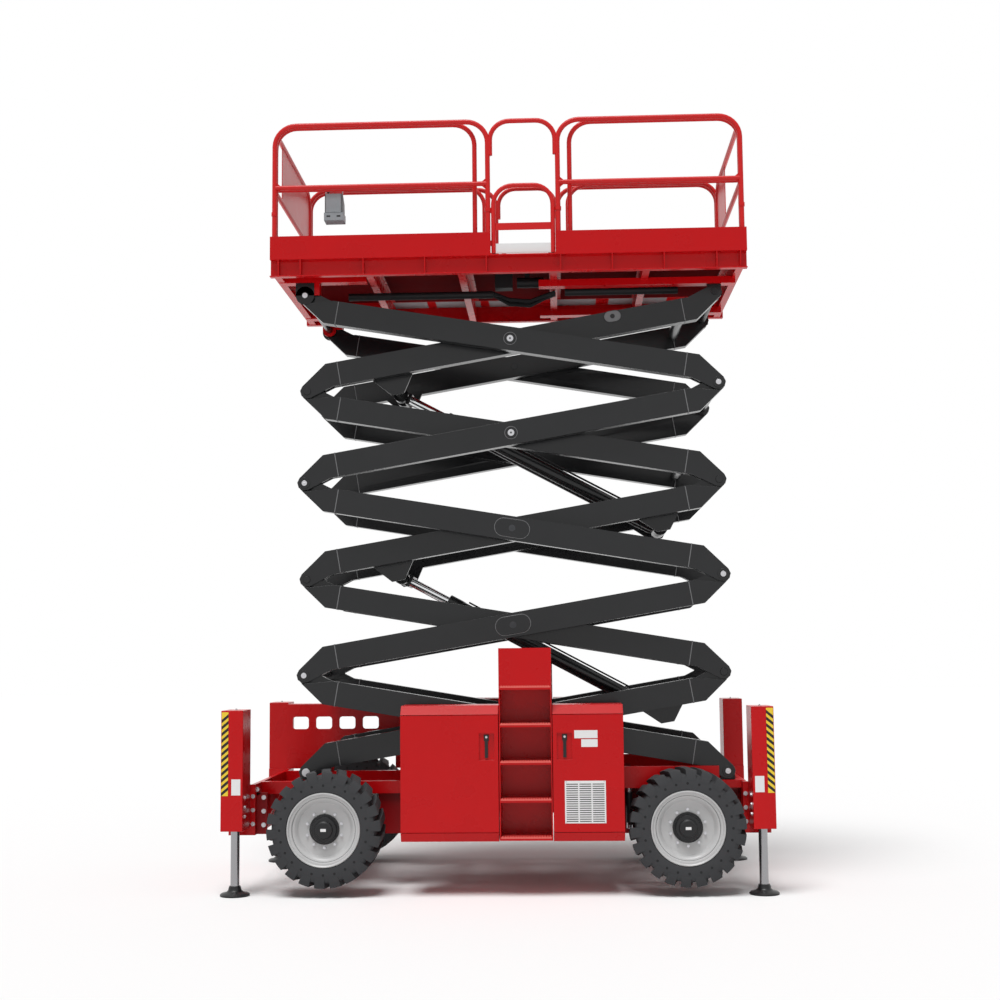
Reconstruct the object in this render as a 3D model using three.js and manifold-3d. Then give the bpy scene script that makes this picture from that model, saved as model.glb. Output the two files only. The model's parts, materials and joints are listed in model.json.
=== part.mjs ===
// Rough-terrain scissor lift, standing on its four levelling jacks with the scissor part raised.
// Millimetres, +Z up, X along the machine, Y across it. The origin lies on the ground under the middle.

import * as THREE from 'three';
import { mergeVertices } from 'three/addons/utils/BufferGeometryUtils.js';
import Module from 'manifold-3d';

const wasm = await Module();
wasm.setup();

// ---------------------------------------------------------------- driving dimensions

const SIDES = { near: -1, far: 1 };
const ENDS = { left: -1, right: 1 };

// fits
const SEAT_GAP = 0.3;
const RUN_GAP = 0.95;
const MOVE_GAP = 6;

// wheels and axles
const WHEELBASE = 2860;
const WHEELBASE_CENTRE_X = 68;
const OVERALL_WIDTH = 2280;
const TYRE_RADIUS = 457;
const TYRE_WIDTH = 356;
const TYRE_SHOULDER = 34;
const RIM_RADIUS = 293;
const RIM_WALL = 14;
const TYRE_CLEAR = 71;
const HUB_RADIUS = 114;
const SPINDLE_RADIUS = 44;
const SPINDLE_LENGTH = 120;
const DISC_DEPTH = 76;
const DISC_WALL = 16;
const KINGPIN_INSET = 162;
const AXLE_HALF_HEIGHT = 75;
const AXLE_HALF_WIDTH = 80;
const YOKE_EAR = 26;
const KNUCKLE_RADIUS = 52;
const KINGPIN_RADIUS = 24;

// levelling jacks
const JACK_TYRE_GAP = { left: 188, right: 52 };
const JACK_PAD_RADIUS = 118;
const JACK_PAD_HEIGHT = 26;
const JACK_ROD_RADIUS = 35;
const JACK_ROD_TOP = 1130;
const JACK_TUBE_RADIUS = 58;
const JACK_BOX_LENGTH = 176;
const JACK_BOX_DEPTH = 290;
const JACK_BOX_INSET = 29;
const JACK_BOX_BOTTOM = 518;
const JACK_BOX_TOP = 1466;
const JACK_WALL = 8;

// chassis
const RAIL_INNER = 500;
const RAIL_OUTER = 575;
const RAIL_OVER_AXLE = 157;
const RAIL_DEPTH = 100;
const END_BEAM_GAP = 7;
const END_BEAM_DEPTH = 34;
const END_BEAM_BOTTOM = 455;
const CROSS_BEAM_HEIGHT = 110;
const CROSS_BEAM_WIDTH = 100;
const AXLE_SADDLE_HALF_WIDTH = 330;

// scissor
const LEVELS = 5;
const PIVOT_X = -1594;
const PIVOT_RISE = 74;
const ARM_PIN_LENGTH = 3550;
const REST_ANGLE = THREE.MathUtils.degToRad(13);
const ARM_DEPTH = 200;
const ARM_WIDTH = 100;
const STACK_GAP = 15;
const INNER_ARM_FACE = 480;
const ARM_SIDE_GAP = 20;
const PIN_RADIUS = 30;
const EYE_RADIUS = 62;
const EYE_RELIEF = 6;
const FORK_PLATE = 24;
const TONGUE_GAP = 4;
const END_PLATEAU = 190;
const END_WEDGE = 230;
const PIN_OVERHANG = 8;

// lift cylinders
const BASE_PIN_SETBACK = 530;
const BASE_PIN_DROP = 77;
const ROD_PIN_ALONG = 747;
const ROD_PIN_DROP = 96;
const CYLINDER_PIN_RADIUS = 34;
const CYLINDER_OFFSET = 115;
const BARREL_RADIUS = 64;
const BARREL_SETBACK = 1462;
const BARREL_BORE_START = 100;
const ROD_RADIUS = 38;
const ROD_SETBACK = 1540;
const ROD_END_GAP = 3;
const ROD_HEAD_THICKNESS = 28;
const BRACKET_INSET = 5;
const BRACKET_PLATE = 25;

// platform
const PLATFORM_LENGTH = 3955;
const PLATFORM_X = 124;
const PLATFORM_WIDTH = 1833;
const PLATFORM_RISE = 110;
const SIDE_BEAM_HEIGHT = 145;
const SIDE_BEAM_DEPTH = 46;
const BEAM_WALL = 10;
const FLOOR_THICKNESS = 10;
const TOE_BOARD_TOP = 343;
const TOE_BOARD_THICKNESS = 6;
const RAIL_TUBE_RADIUS = 21;
const RAIL_INSET = 31;
const TOP_RAIL_RISE = 1303;
const MID_RAIL_RISE = 765;
const GATE_OPENING = [-32, 552];
const EXTENSION_RAIL_STEP = 60;
const EXTENSION_DECK_THICKNESS = 8;
const LEFT_EXTENSION_LENGTH = 1740;
const RIGHT_EXTENSION_LENGTH = 1480;

// side boxes
const BOX_FACE_INSET = 6;
const BOX_ARM_GAP = 45;
const BOX_BOTTOM = 430;
const BOX_TOP = 1490;
const BOX_CHAMFER = 74;
const BOX_WALL = 6;
const LEFT_BOX_TYRE_GAP = 153;
const RIGHT_BOX_TYRE_GAP = 35;
const BOX_LADDER_GAP = 6;
const DOOR_THICKNESS = 24;
const DOOR_MARGIN = 12;
const HINGE_RADIUS = 10;
const HINGE_LENGTH = 60;

// ladder
const LADDER_X = [28, 444];
const LADDER_TOP = 1940;
const LADDER_BOTTOM = 440;
const LADDER_DEPTH_GAP = 105;
const STEP_PITCH = 293;
const STEP_COUNT = 5;
const STEP_THICKNESS = 28;
const STRINGER = 8;

// ---------------------------------------------------------------- values that follow

const WHEEL_Z = TYRE_CLEAR + TYRE_RADIUS;
const STEER_AXLE_X = WHEELBASE_CENTRE_X - WHEELBASE / 2;
const REAR_AXLE_X = WHEELBASE_CENTRE_X + WHEELBASE / 2;
const TYRE_CENTRE_Y = (OVERALL_WIDTH - TYRE_WIDTH) / 2;
const KINGPIN_Y = TYRE_CENTRE_Y - KINGPIN_INSET;

const JACK_FACE = {
  left: STEER_AXLE_X - TYRE_RADIUS - JACK_TYRE_GAP.left,
  right: REAR_AXLE_X + TYRE_RADIUS + JACK_TYRE_GAP.right,
};
const JACK_BOX_FRONT = OVERALL_WIDTH / 2 - JACK_BOX_INSET;
const RAIL_BOTTOM = WHEEL_Z + AXLE_HALF_HEIGHT + RAIL_OVER_AXLE;
const RAIL_TOP = RAIL_BOTTOM + RAIL_DEPTH;
const PIVOT_Z = RAIL_TOP + PIVOT_RISE;

const PIN_EDGE = STACK_GAP / 2;
const STACK_PITCH = ARM_DEPTH + STACK_GAP;
const BEAM_LENGTH = Math.sqrt(ARM_PIN_LENGTH ** 2 - STACK_PITCH ** 2);
const STOW_ANGLE = Math.atan2(STACK_PITCH, BEAM_LENGTH);
const BEAM_ANGLE = REST_ANGLE - STOW_ANGLE;
const LEVEL_RISE = ARM_PIN_LENGTH * Math.sin(REST_ANGLE);
const SPAN = ARM_PIN_LENGTH * Math.cos(REST_ANGLE);
const SLIDE_X = PIVOT_X + SPAN;
const TOP_PIN_Z = PIVOT_Z + LEVELS * LEVEL_RISE;
const INNER_ARM = [INNER_ARM_FACE, INNER_ARM_FACE + ARM_WIDTH];
const OUTER_ARM = [INNER_ARM[1] + ARM_SIDE_GAP, INNER_ARM[1] + ARM_SIDE_GAP + ARM_WIDTH];
const BORE_RADIUS = PIN_RADIUS + RUN_GAP;
const RELIEF_RADIUS = EYE_RADIUS + EYE_RELIEF;

const BASE_PIN_ALONG = ARM_PIN_LENGTH - BASE_PIN_SETBACK;
const BARREL_LENGTH = ARM_PIN_LENGTH - BARREL_SETBACK;
const ROD_LENGTH = ARM_PIN_LENGTH - ROD_SETBACK;

const BOX_FACE = OVERALL_WIDTH / 2 - BOX_FACE_INSET;
const BOX_BACK = OUTER_ARM[1] + BOX_ARM_GAP;
const LEFT_BOX = [STEER_AXLE_X + TYRE_RADIUS + LEFT_BOX_TYRE_GAP, LADDER_X[0] - BOX_LADDER_GAP];
const RIGHT_BOX = [LADDER_X[1] + BOX_LADDER_GAP, REAR_AXLE_X - TYRE_RADIUS - RIGHT_BOX_TYRE_GAP];
const LADDER_BACK = BOX_BACK + LADDER_DEPTH_GAP;

const DECK_BOTTOM = TOP_PIN_Z + PLATFORM_RISE;
const FLOOR_Z = DECK_BOTTOM + SIDE_BEAM_HEIGHT + FLOOR_THICKNESS;
const PLATFORM_ENDS = [PLATFORM_X - PLATFORM_LENGTH / 2, PLATFORM_X + PLATFORM_LENGTH / 2];
const PLATFORM_SIDE = PLATFORM_WIDTH / 2;
const RAIL_Y = PLATFORM_SIDE - RAIL_INSET;
const EXTENSION_RAIL_Y = RAIL_Y - EXTENSION_RAIL_STEP;

// ---------------------------------------------------------------- materials

const paint = (color, roughness, metalness) =>
  new THREE.MeshStandardMaterial({ color, roughness, metalness });
const RED = paint(0xc40808, 0.35, 0.1);
const ARM_BLACK = paint(0x2c2c2e, 0.35, 0.2);
const BLACK = paint(0x151516, 0.5, 0.1);
const TYRE = paint(0x3d3d3d, 0.85, 0);
const RIM = paint(0xb4b4b4, 0.4, 0.4);
const CHROME = paint(0xc8c8c8, 0.15, 1);
const CAST = paint(0x404246, 0.6, 0.5);
const GREY = paint(0x8c8f92, 0.5, 0.1);

// ---------------------------------------------------------------- solids

// A closed geometry becomes a manifold solid; triangles that collapse on a lathe's axis are dropped.
function solid(geometry) {
  geometry.deleteAttribute('normal');
  geometry.deleteAttribute('uv');
  const merged = mergeVertices(geometry, 1e-3);
  const index = merged.index.array;
  const faces = [];
  for (let i = 0; i < index.length; i += 3) {
    const [a, b, c] = [index[i], index[i + 1], index[i + 2]];
    if (a !== b && b !== c && c !== a) faces.push(a, b, c);
  }
  const vertProperties = new Float32Array(merged.attributes.position.array);
  return new wasm.Manifold(new wasm.Mesh({ numProp: 3, vertProperties, triVerts: new Uint32Array(faces) }));
}

// A result taken afresh, so that its flat faces count as whole faces in the next step.
function fresh(body) {
  const { vertProperties, triVerts } = body.getMesh();
  return new wasm.Manifold(new wasm.Mesh({ numProp: 3, vertProperties, triVerts }));
}

const join = (pieces) => pieces.reduce((whole, piece) => fresh(whole.add(piece)));
const cut = (body, tools) => tools.reduce((rest, tool) => fresh(rest.subtract(tool)), body);
const sorted = (a, b) => [Math.min(a, b), Math.max(a, b)];

// A box between two values on each axis, given in either order.
function block(x, y, z) {
  const [[x0, x1], [y0, y1], [z0, z1]] = [sorted(...x), sorted(...y), sorted(...z)];
  const geometry = new THREE.BoxGeometry(x1 - x0, y1 - y0, z1 - z0);
  return solid(geometry.translate((x0 + x1) / 2, (y0 + y1) / 2, (z0 + z1) / 2));
}

// An outline in X and Z, drawn counter-clockwise as seen from -Y, made solid between two values of Y.
function slab(points, ya, yb) {
  const [y0, y1] = sorted(ya, yb);
  const shape = new THREE.Shape(points.map(([x, z]) => new THREE.Vector2(x, z)));
  const geometry = new THREE.ExtrudeGeometry(shape, { depth: y1 - y0, bevelEnabled: false });
  return solid(geometry.rotateX(Math.PI / 2).translate(0, y1, 0));
}

// An outline in Y and Z made solid between two values of X.
function profileAlongX(points, xa, xb) {
  const [x0, x1] = sorted(xa, xb);
  const shape = new THREE.Shape(points.map(([y, z]) => new THREE.Vector2(y, z)));
  const geometry = new THREE.ExtrudeGeometry(shape, { depth: x1 - x0, bevelEnabled: false });
  const turned = new THREE.Matrix4().makeBasis(
    new THREE.Vector3(0, 1, 0),
    new THREE.Vector3(0, 0, 1),
    new THREE.Vector3(1, 0, 0),
  );
  return solid(geometry.applyMatrix4(turned).translate(x0, 0, 0));
}

// Round bars along the three axes. A bore and its pin have the same number of sides, so neither turns into
// the other.
const PIN_SIDES = 14;

function barY(radius, x, z, ya, yb, sides = PIN_SIDES) {
  const geometry = new THREE.CylinderGeometry(radius, radius, Math.abs(yb - ya), sides);
  return solid(geometry.translate(x, (ya + yb) / 2, z));
}

function barZ(radius, x, y, za, zb, sides = PIN_SIDES) {
  const geometry = new THREE.CylinderGeometry(radius, radius, Math.abs(zb - za), sides);
  return solid(geometry.rotateX(Math.PI / 2).translate(x, y, (za + zb) / 2));
}

function barX(radius, y, z, xa, xb, sides = PIN_SIDES) {
  const geometry = new THREE.CylinderGeometry(radius, radius, Math.abs(xb - xa), sides);
  return solid(geometry.rotateZ(Math.PI / 2).translate((xa + xb) / 2, y, z));
}

// A path whose rings stand exactly at its points.
class RingPath extends THREE.Curve {
  constructor(points) {
    super();
    this.points = points;
  }

  getPoint(t) {
    const place = t * (this.points.length - 1);
    const i = Math.min(Math.floor(place), this.points.length - 2);
    return this.points[i].clone().lerp(this.points[i + 1], place - i);
  }

  getUtoTmapping(u) {
    return u;
  }
}

const TUBE_SIDES = 6;
const TUBE_FLAT = Math.cos(Math.PI / TUBE_SIDES);

function tube(points, radius) {
  const ring = new THREE.Shape();
  ring.absarc(0, 0, radius, 0, 2 * Math.PI);
  const path = new RingPath(points);
  return solid(new THREE.ExtrudeGeometry(ring, {
    steps: points.length - 1,
    curveSegments: TUBE_SIDES / 2,
    extrudePath: path,
  }));
}

// A hoop in an upright plane: up one leg, round two bends, down the other leg.
function hoop(from, to, top, bend, radius) {
  const along = new THREE.Vector3(to.x - from.x, to.y - from.y, 0).normalize();
  const up = new THREE.Vector3(0, 0, 1);
  const at = (base, step, z) => new THREE.Vector3(base.x, base.y, z).addScaledVector(along, step);
  const points = [from.clone()];
  const STEPS = 2;
  const first = at(from, bend, top - bend);
  const last = at(to, -bend, top - bend);
  for (let i = 0; i <= STEPS; i++) {
    const a = (i / STEPS) * (Math.PI / 2);
    points.push(first.clone().addScaledVector(along, -bend * Math.cos(a))
      .addScaledVector(up, bend * Math.sin(a)));
  }
  for (let i = 0; i <= STEPS; i++) {
    const a = (i / STEPS) * (Math.PI / 2);
    points.push(last.clone().addScaledVector(along, bend * Math.sin(a))
      .addScaledVector(up, bend * Math.cos(a)));
  }
  points.push(to.clone());
  return tube(points, radius);
}

// A ring or disc turned about Y from [radius, y] points, in order round the section.
function turned(points, sides) {
  const profile = points.map(([r, y]) => new THREE.Vector2(r, y));
  return solid(new THREE.LatheGeometry(profile, sides));
}

// ---------------------------------------------------------------- scene

const machine = new THREE.Group();

function add(name, body, material, place = {}) {
  const mesh = body.getMesh();
  const geometry = new THREE.BufferGeometry();
  geometry.setAttribute('position', new THREE.BufferAttribute(new Float32Array(mesh.vertProperties), 3));
  geometry.setIndex(new THREE.BufferAttribute(new Uint32Array(mesh.triVerts), 1));
  geometry.computeVertexNormals();
  const node = new THREE.Mesh(geometry, material);
  node.name = name;
  if (place.position) node.position.set(...place.position);
  if (place.rotation) node.rotation.set(...place.rotation);
  machine.add(node);
}

// ---------------------------------------------------------------- chassis

const JACK_BOX_INNER = JACK_BOX_FRONT - JACK_BOX_DEPTH;
const JACK_Y = JACK_BOX_FRONT - JACK_BOX_DEPTH / 2;
const SLIDE_PAD_BELOW = 70;
const SLIDE_PAD_ABOVE = 30;
const SLIDE_PAD_HALF = 58;
const SLIDE_GAP = 1;
const SHELF_TOP = PIVOT_Z - SLIDE_PAD_BELOW - SLIDE_GAP;
const SHELF_THICKNESS = 60;
const END_BEAM_X = { left: JACK_FACE.left + END_BEAM_GAP, right: JACK_FACE.right - END_BEAM_GAP };
const SHELF_ENDS = [330, END_BEAM_X.right];
const SHELF_OUTER = OUTER_ARM[1] + 30;
const LIP_THICKNESS = 14;
const LIP_TOP = PIVOT_Z + 44;
const LIP_END = 1790;
const LUG_SHAFT_END = OUTER_ARM[0] - MOVE_GAP;
const TONGUE_INSET = FORK_PLATE + TONGUE_GAP;
const GUSSET_REACH = 150;
const SADDLE_HALF = 120;
const STUB_X = [LEFT_BOX[0] + 112, LEFT_BOX[1] - 142, RIGHT_BOX[0] + 70, RIGHT_BOX[1] - 106];

function pivotLug(side) {
  const [y0, y1] = [side * (INNER_ARM[0] + TONGUE_INSET), side * (INNER_ARM[1] - TONGUE_INSET)];
  const eye = barY(EYE_RADIUS, PIVOT_X, PIVOT_Z, y0, y1);
  const foot = slab(
    [
      [PIVOT_X - EYE_RADIUS, RAIL_TOP - BEAM_WALL],
      [PIVOT_X + EYE_RADIUS, RAIL_TOP - BEAM_WALL],
      [PIVOT_X + EYE_RADIUS - 2, PIVOT_Z],
      [PIVOT_X - EYE_RADIUS + 2, PIVOT_Z],
    ],
    y0,
    y1,
  );
  const shaft = barY(PIN_RADIUS, PIVOT_X, PIVOT_Z,
    side * (INNER_ARM[0] - PIN_OVERHANG), side * LUG_SHAFT_END);
  return join([eye, foot, shaft]);
}

function chassisFrame() {
  const pieces = [];
  for (const side of Object.values(SIDES)) {
    pieces.push(block([END_BEAM_X.left, END_BEAM_X.right],
      [side * RAIL_INNER, side * RAIL_OUTER], [RAIL_BOTTOM, RAIL_TOP]));
    pieces.push(pivotLug(side));
    pieces.push(block(SHELF_ENDS, [side * (RAIL_INNER + 10), side * SHELF_OUTER],
      [SHELF_TOP - SHELF_THICKNESS, SHELF_TOP]));
    pieces.push(block([SHELF_ENDS[0], LIP_END], [side * (SHELF_OUTER - LIP_THICKNESS), side * SHELF_OUTER],
      [SHELF_TOP - SHELF_THICKNESS, LIP_TOP]));
    for (const x of STUB_X) {
      pieces.push(block([x, x + CROSS_BEAM_WIDTH], [side * (RAIL_OUTER - 20), side * (BOX_BACK - SEAT_GAP)],
        [RAIL_BOTTOM - CROSS_BEAM_HEIGHT, RAIL_BOTTOM + 30]));
    }
  }
  for (const [endName, end] of Object.entries(ENDS)) {
    const outer = END_BEAM_X[endName];
    const inner = outer - end * END_BEAM_DEPTH;
    const reach = JACK_BOX_INNER - SEAT_GAP;
    pieces.push(block([inner, outer], [-reach, reach], [END_BEAM_BOTTOM, RAIL_TOP]));
    for (const side of Object.values(SIDES)) {
      pieces.push(block([inner, JACK_FACE[endName] + end * JACK_BOX_LENGTH],
        [side * (reach - 14), side * reach], [END_BEAM_BOTTOM, RAIL_TOP]));
      pieces.push(slab(gussetOutline(inner, end), side * RAIL_INNER, side * (RAIL_INNER + 20)));
    }
  }
  for (const x of [STEER_AXLE_X, REAR_AXLE_X, ...STUB_X]) {
    const middle = STUB_X.includes(x) ? x + CROSS_BEAM_WIDTH / 2 : x;
    pieces.push(block([middle - CROSS_BEAM_WIDTH / 2, middle + CROSS_BEAM_WIDTH / 2],
      [-RAIL_INNER - 10, RAIL_INNER + 10], [RAIL_BOTTOM - CROSS_BEAM_HEIGHT, RAIL_BOTTOM + 20]));
  }
  for (const x of [STEER_AXLE_X, REAR_AXLE_X]) {
    pieces.push(block([x - SADDLE_HALF, x + SADDLE_HALF], [-AXLE_SADDLE_HALF_WIDTH, AXLE_SADDLE_HALF_WIDTH],
      [WHEEL_Z + AXLE_HALF_HEIGHT + SEAT_GAP, RAIL_BOTTOM - CROSS_BEAM_HEIGHT + 20]));
  }
  return join(pieces);
}

// A web that stiffens the corner of rail and end beam, from the beam's inner face.
function gussetOutline(beamFace, end) {
  const x = beamFace + end * 2;
  const points = [[x, END_BEAM_BOTTOM], [x, RAIL_BOTTOM + 5], [x - end * GUSSET_REACH, RAIL_BOTTOM + 5]];
  return end > 0 ? points : points.reverse();
}

add('chassis_frame', chassisFrame(), RED);

// ---------------------------------------------------------------- axles, knuckles and wheels

const YOKE_HALF_GAP = KNUCKLE_RADIUS + 26;
const YOKE_DEPTH = 62;
const SPINDLE_ROOT = 20;
const WHEEL_SIDES = 20;

function axleBeam(halfLength) {
  return block([-AXLE_HALF_WIDTH, AXLE_HALF_WIDTH], [-halfLength, halfLength],
    [-AXLE_HALF_HEIGHT, AXLE_HALF_HEIGHT]);
}

function steerAxle() {
  const beamEnd = KINGPIN_Y - KNUCKLE_RADIUS - MOVE_GAP;
  const pieces = [axleBeam(beamEnd)];
  for (const side of Object.values(SIDES)) {
    for (const level of [-1, 1]) {
      const [z0, z1] = [level * YOKE_HALF_GAP, level * (YOKE_HALF_GAP + YOKE_EAR)];
      pieces.push(block([-YOKE_DEPTH, YOKE_DEPTH],
        [side * (beamEnd - 60), side * (KINGPIN_Y + 40)], [z0, z1]));
      pieces.push(block([-YOKE_DEPTH, YOKE_DEPTH], [side * (beamEnd - 60), side * beamEnd],
        [level * (AXLE_HALF_HEIGHT - 10), z1]));
    }
  }
  const bores = Object.values(SIDES).map((side) => barZ(KINGPIN_RADIUS + RUN_GAP, 0, side * KINGPIN_Y,
    -YOKE_HALF_GAP - YOKE_EAR - 5, YOKE_HALF_GAP + YOKE_EAR + 5));
  return cut(join(pieces), bores);
}

function spindle(side, root) {
  return barY(SPINDLE_RADIUS, 0, 0, side * root, side * (TYRE_CENTRE_Y + SPINDLE_LENGTH));
}

function knuckle(side) {
  const half = YOKE_HALF_GAP - RUN_GAP;
  return join([
    barZ(KNUCKLE_RADIUS, 0, side * KINGPIN_Y, -half, half),
    barZ(KINGPIN_RADIUS, 0, side * KINGPIN_Y, -half - YOKE_EAR, half + YOKE_EAR),
    spindle(side, KINGPIN_Y),
  ]);
}

function rearAxle() {
  const end = TYRE_CENTRE_Y - KINGPIN_INSET;
  return join([axleBeam(end), ...Object.values(SIDES).map((side) => spindle(side, end - SPINDLE_ROOT))]);
}

// The tyre's section: bead, sidewall, rounded shoulder, tread.
function tyreRing() {
  const half = TYRE_WIDTH / 2;
  const r0 = RIM_RADIUS + SEAT_GAP;
  const outer = TYRE_RADIUS;
  return turned([
    [r0, -half], [outer - TYRE_SHOULDER, -half], [outer, -half + TYRE_SHOULDER],
    [outer, half - TYRE_SHOULDER], [outer - TYRE_SHOULDER, half], [r0, half], [r0, -half],
  ], WHEEL_SIDES);
}

// Rim with its dished disc and hub; the open side faces out along -Y and the hub stands in it.
function rim() {
  const half = TYRE_WIDTH / 2;
  const inner = RIM_RADIUS - RIM_WALL;
  const disc = -half + DISC_DEPTH;
  const hubFace = -half + 4;
  const bore = SPINDLE_RADIUS + RUN_GAP;
  const boreEnd = -SPINDLE_LENGTH - 4;
  return turned([
    [0, hubFace], [HUB_RADIUS, hubFace], [HUB_RADIUS, disc], [inner - 10, disc],
    [inner, -half], [RIM_RADIUS, -half],
    [RIM_RADIUS, half], [inner, half], [inner, disc + DISC_WALL], [bore, disc + DISC_WALL], [bore, boreEnd],
    [0, boreEnd],
  ], WHEEL_SIDES);
}

add('steer_axle', steerAxle(), BLACK, { position: [STEER_AXLE_X, 0, WHEEL_Z] });
add('rear_axle', rearAxle(), BLACK, { position: [REAR_AXLE_X, 0, WHEEL_Z] });
for (const [sideName, side] of Object.entries(SIDES)) {
  add(`steer_knuckle_${sideName}`, knuckle(side), CAST, { position: [STEER_AXLE_X, 0, WHEEL_Z] });
  for (const [axleName, x] of [['steer', STEER_AXLE_X], ['rear', REAR_AXLE_X]]) {
    const position = [x, side * TYRE_CENTRE_Y, WHEEL_Z];
    add(`tyre_${axleName}_${sideName}`, tyreRing(), TYRE, { position });
    add(`rim_${axleName}_${sideName}`, rim(), RIM, { position, rotation: [0, 0, side > 0 ? Math.PI : 0] });
  }
}

// ---------------------------------------------------------------- levelling jacks

function jackHousing() {
  const [x, y0, y1] = [JACK_BOX_LENGTH / 2, -JACK_BOX_DEPTH / 2, JACK_BOX_DEPTH / 2];
  const shell = cut(block([-x, x], [y0, y1], [JACK_BOX_BOTTOM, JACK_BOX_TOP]), [
    block([-x + JACK_WALL, x - JACK_WALL], [y0 + JACK_WALL, y1 - JACK_WALL],
      [JACK_BOX_BOTTOM - 1, JACK_BOX_TOP - JACK_WALL]),
  ]);
  const cylinder = barZ(JACK_TUBE_RADIUS, 0, 0, JACK_BOX_BOTTOM + 4, JACK_BOX_TOP - JACK_WALL / 2);
  const bore = barZ(JACK_ROD_RADIUS + RUN_GAP, 0, 0, JACK_BOX_BOTTOM - 5, JACK_BOX_TOP - 2 * JACK_WALL);
  return cut(shell.add(cylinder), [bore]);
}

// Rod, swivel socket and round foot pad; the pad's underside is the ground.
function jackLeg() {
  const socket = 52;
  const profile = [
    [0, 0], [JACK_PAD_RADIUS, 0], [JACK_PAD_RADIUS - 14, JACK_PAD_HEIGHT],
    [socket, JACK_PAD_HEIGHT + 52], [0, JACK_PAD_HEIGHT + 52],
  ];
  const section = profile.map(([r, z]) => new THREE.Vector2(r, z));
  const pad = new THREE.LatheGeometry(section, 16).rotateX(Math.PI / 2);
  return join([solid(pad), barZ(JACK_ROD_RADIUS, 0, 0, JACK_PAD_HEIGHT, JACK_ROD_TOP)]);
}

for (const [endName, end] of Object.entries(ENDS)) {
  for (const [sideName, side] of Object.entries(SIDES)) {
    const position = [JACK_FACE[endName] + (end * JACK_BOX_LENGTH) / 2, side * JACK_Y, 0];
    add(`jack_housing_${endName}_${sideName}`, jackHousing(), RED, { position });
    add(`jack_leg_${endName}_${sideName}`, jackLeg(), CHROME, { position });
  }
}

// ---------------------------------------------------------------- side boxes and doors

// A side box opens outward; its section is given in distance from the machine's middle.
function boxSection(inset, side) {
  const face = BOX_FACE - inset;
  const back = BOX_BACK + inset;
  const top = BOX_TOP - inset;
  const bottom = BOX_BOTTOM + inset;
  const slope = BOX_CHAMFER - inset * 0.4;
  const points = [
    [back, bottom], [face - slope * 0.6, bottom], [face, bottom + slope], [face, top - slope],
    [face - slope, top], [back, top],
  ].map(([y, z]) => [side * y, z]);
  return side > 0 ? points : points.reverse();
}

function sideBox([x0, x1], side, hingeX) {
  const shell = profileAlongX(boxSection(0, side), x0, x1);
  const hollow = profileAlongX(boxSection(BOX_WALL, side), x0 + BOX_WALL, x1 - BOX_WALL);
  const doorway = block([x0 + BOX_WALL, x1 - BOX_WALL],
    [side * (BOX_FACE - 60), side * (BOX_FACE + 60)], doorZ(-DOOR_MARGIN));
  const ledge = block([x0, x1],
    [side * (BOX_FACE - DOOR_THICKNESS - MOVE_GAP), side * (BOX_FACE + 60)], doorZ(MOVE_GAP / 2));
  const body = cut(shell, [hollow, doorway, ledge]);
  return join([body, ...hingeLugs(hingeX, side)]);
}

// Bottom and top of the door, or of an opening that much larger all round.
function doorZ(margin) {
  return [BOX_BOTTOM + BOX_CHAMFER - margin, BOX_TOP - BOX_CHAMFER + margin];
}

function hingeHeights() {
  const [z0, z1] = doorZ(0);
  return [z0 + 0.25 * (z1 - z0), z0 + 0.75 * (z1 - z0)];
}

const HINGE_Y = BOX_FACE - DOOR_THICKNESS / 2;

function hingeLugs(hingeX, side) {
  const pieces = [];
  for (const z of hingeHeights()) {
    for (const level of [-1, 1]) {
      const base = z + level * (HINGE_LENGTH / 2 + RUN_GAP);
      pieces.push(barZ(HINGE_RADIUS, hingeX, side * HINGE_Y, base, base + level * HINGE_LENGTH / 2, 8));
      pieces.push(block([hingeX - 4, hingeX + 4],
        [side * HINGE_Y, side * (HINGE_Y - DOOR_THICKNESS - MOVE_GAP)],
        [base, base + level * HINGE_LENGTH / 2]));
    }
  }
  return pieces;
}

// The door is a flat panel between the chamfers, with a pocket for its handle near the free edge.
function boxDoor([x0, x1], side, hingeEnd) {
  const [hingeX, freeX] = hingeEnd < 0 ? [x0 + HINGE_RADIUS, x1 - 2] : [x1 - HINGE_RADIUS, x0 + 2];
  const inward = Math.sign(freeX - hingeX);
  const panel = block([hingeX + inward * (HINGE_RADIUS + 3), freeX],
    [side * (BOX_FACE - DOOR_THICKNESS), side * BOX_FACE], doorZ(-MOVE_GAP / 2));
  const pocket = block([freeX - inward * 30, freeX - inward * 150],
    [side * (BOX_FACE - 14), side * (BOX_FACE + 10)], [BOX_TOP - 215, BOX_TOP - 425]);
  const handle = block([freeX - inward * 80, freeX - inward * 104],
    [side * (BOX_FACE - 20), side * (BOX_FACE - 2)], [BOX_TOP - 235, BOX_TOP - 405]);
  const knuckles = hingeHeights().flatMap((z) => [
    barZ(HINGE_RADIUS, hingeX, side * HINGE_Y, z - HINGE_LENGTH / 2, z + HINGE_LENGTH / 2, 8),
    block([hingeX, hingeX + inward * (HINGE_RADIUS + 10)], [side * (HINGE_Y - 4), side * (HINGE_Y + 4)],
      [z - HINGE_LENGTH / 2, z + HINGE_LENGTH / 2]),
  ]);
  return join([cut(panel, [pocket]), handle, ...knuckles]);
}

for (const [sideName, side] of Object.entries(SIDES)) {
  for (const [boxName, span, hingeEnd] of [['left', LEFT_BOX, -1], ['right', RIGHT_BOX, 1]]) {
    const hingeX = hingeEnd < 0 ? span[0] + HINGE_RADIUS : span[1] - HINGE_RADIUS;
    add(`side_box_${boxName}_${sideName}`, sideBox(span, side, hingeX), RED);
    add(`box_door_${boxName}_${sideName}`, boxDoor(span, side, hingeEnd), RED);
  }
}

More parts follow.
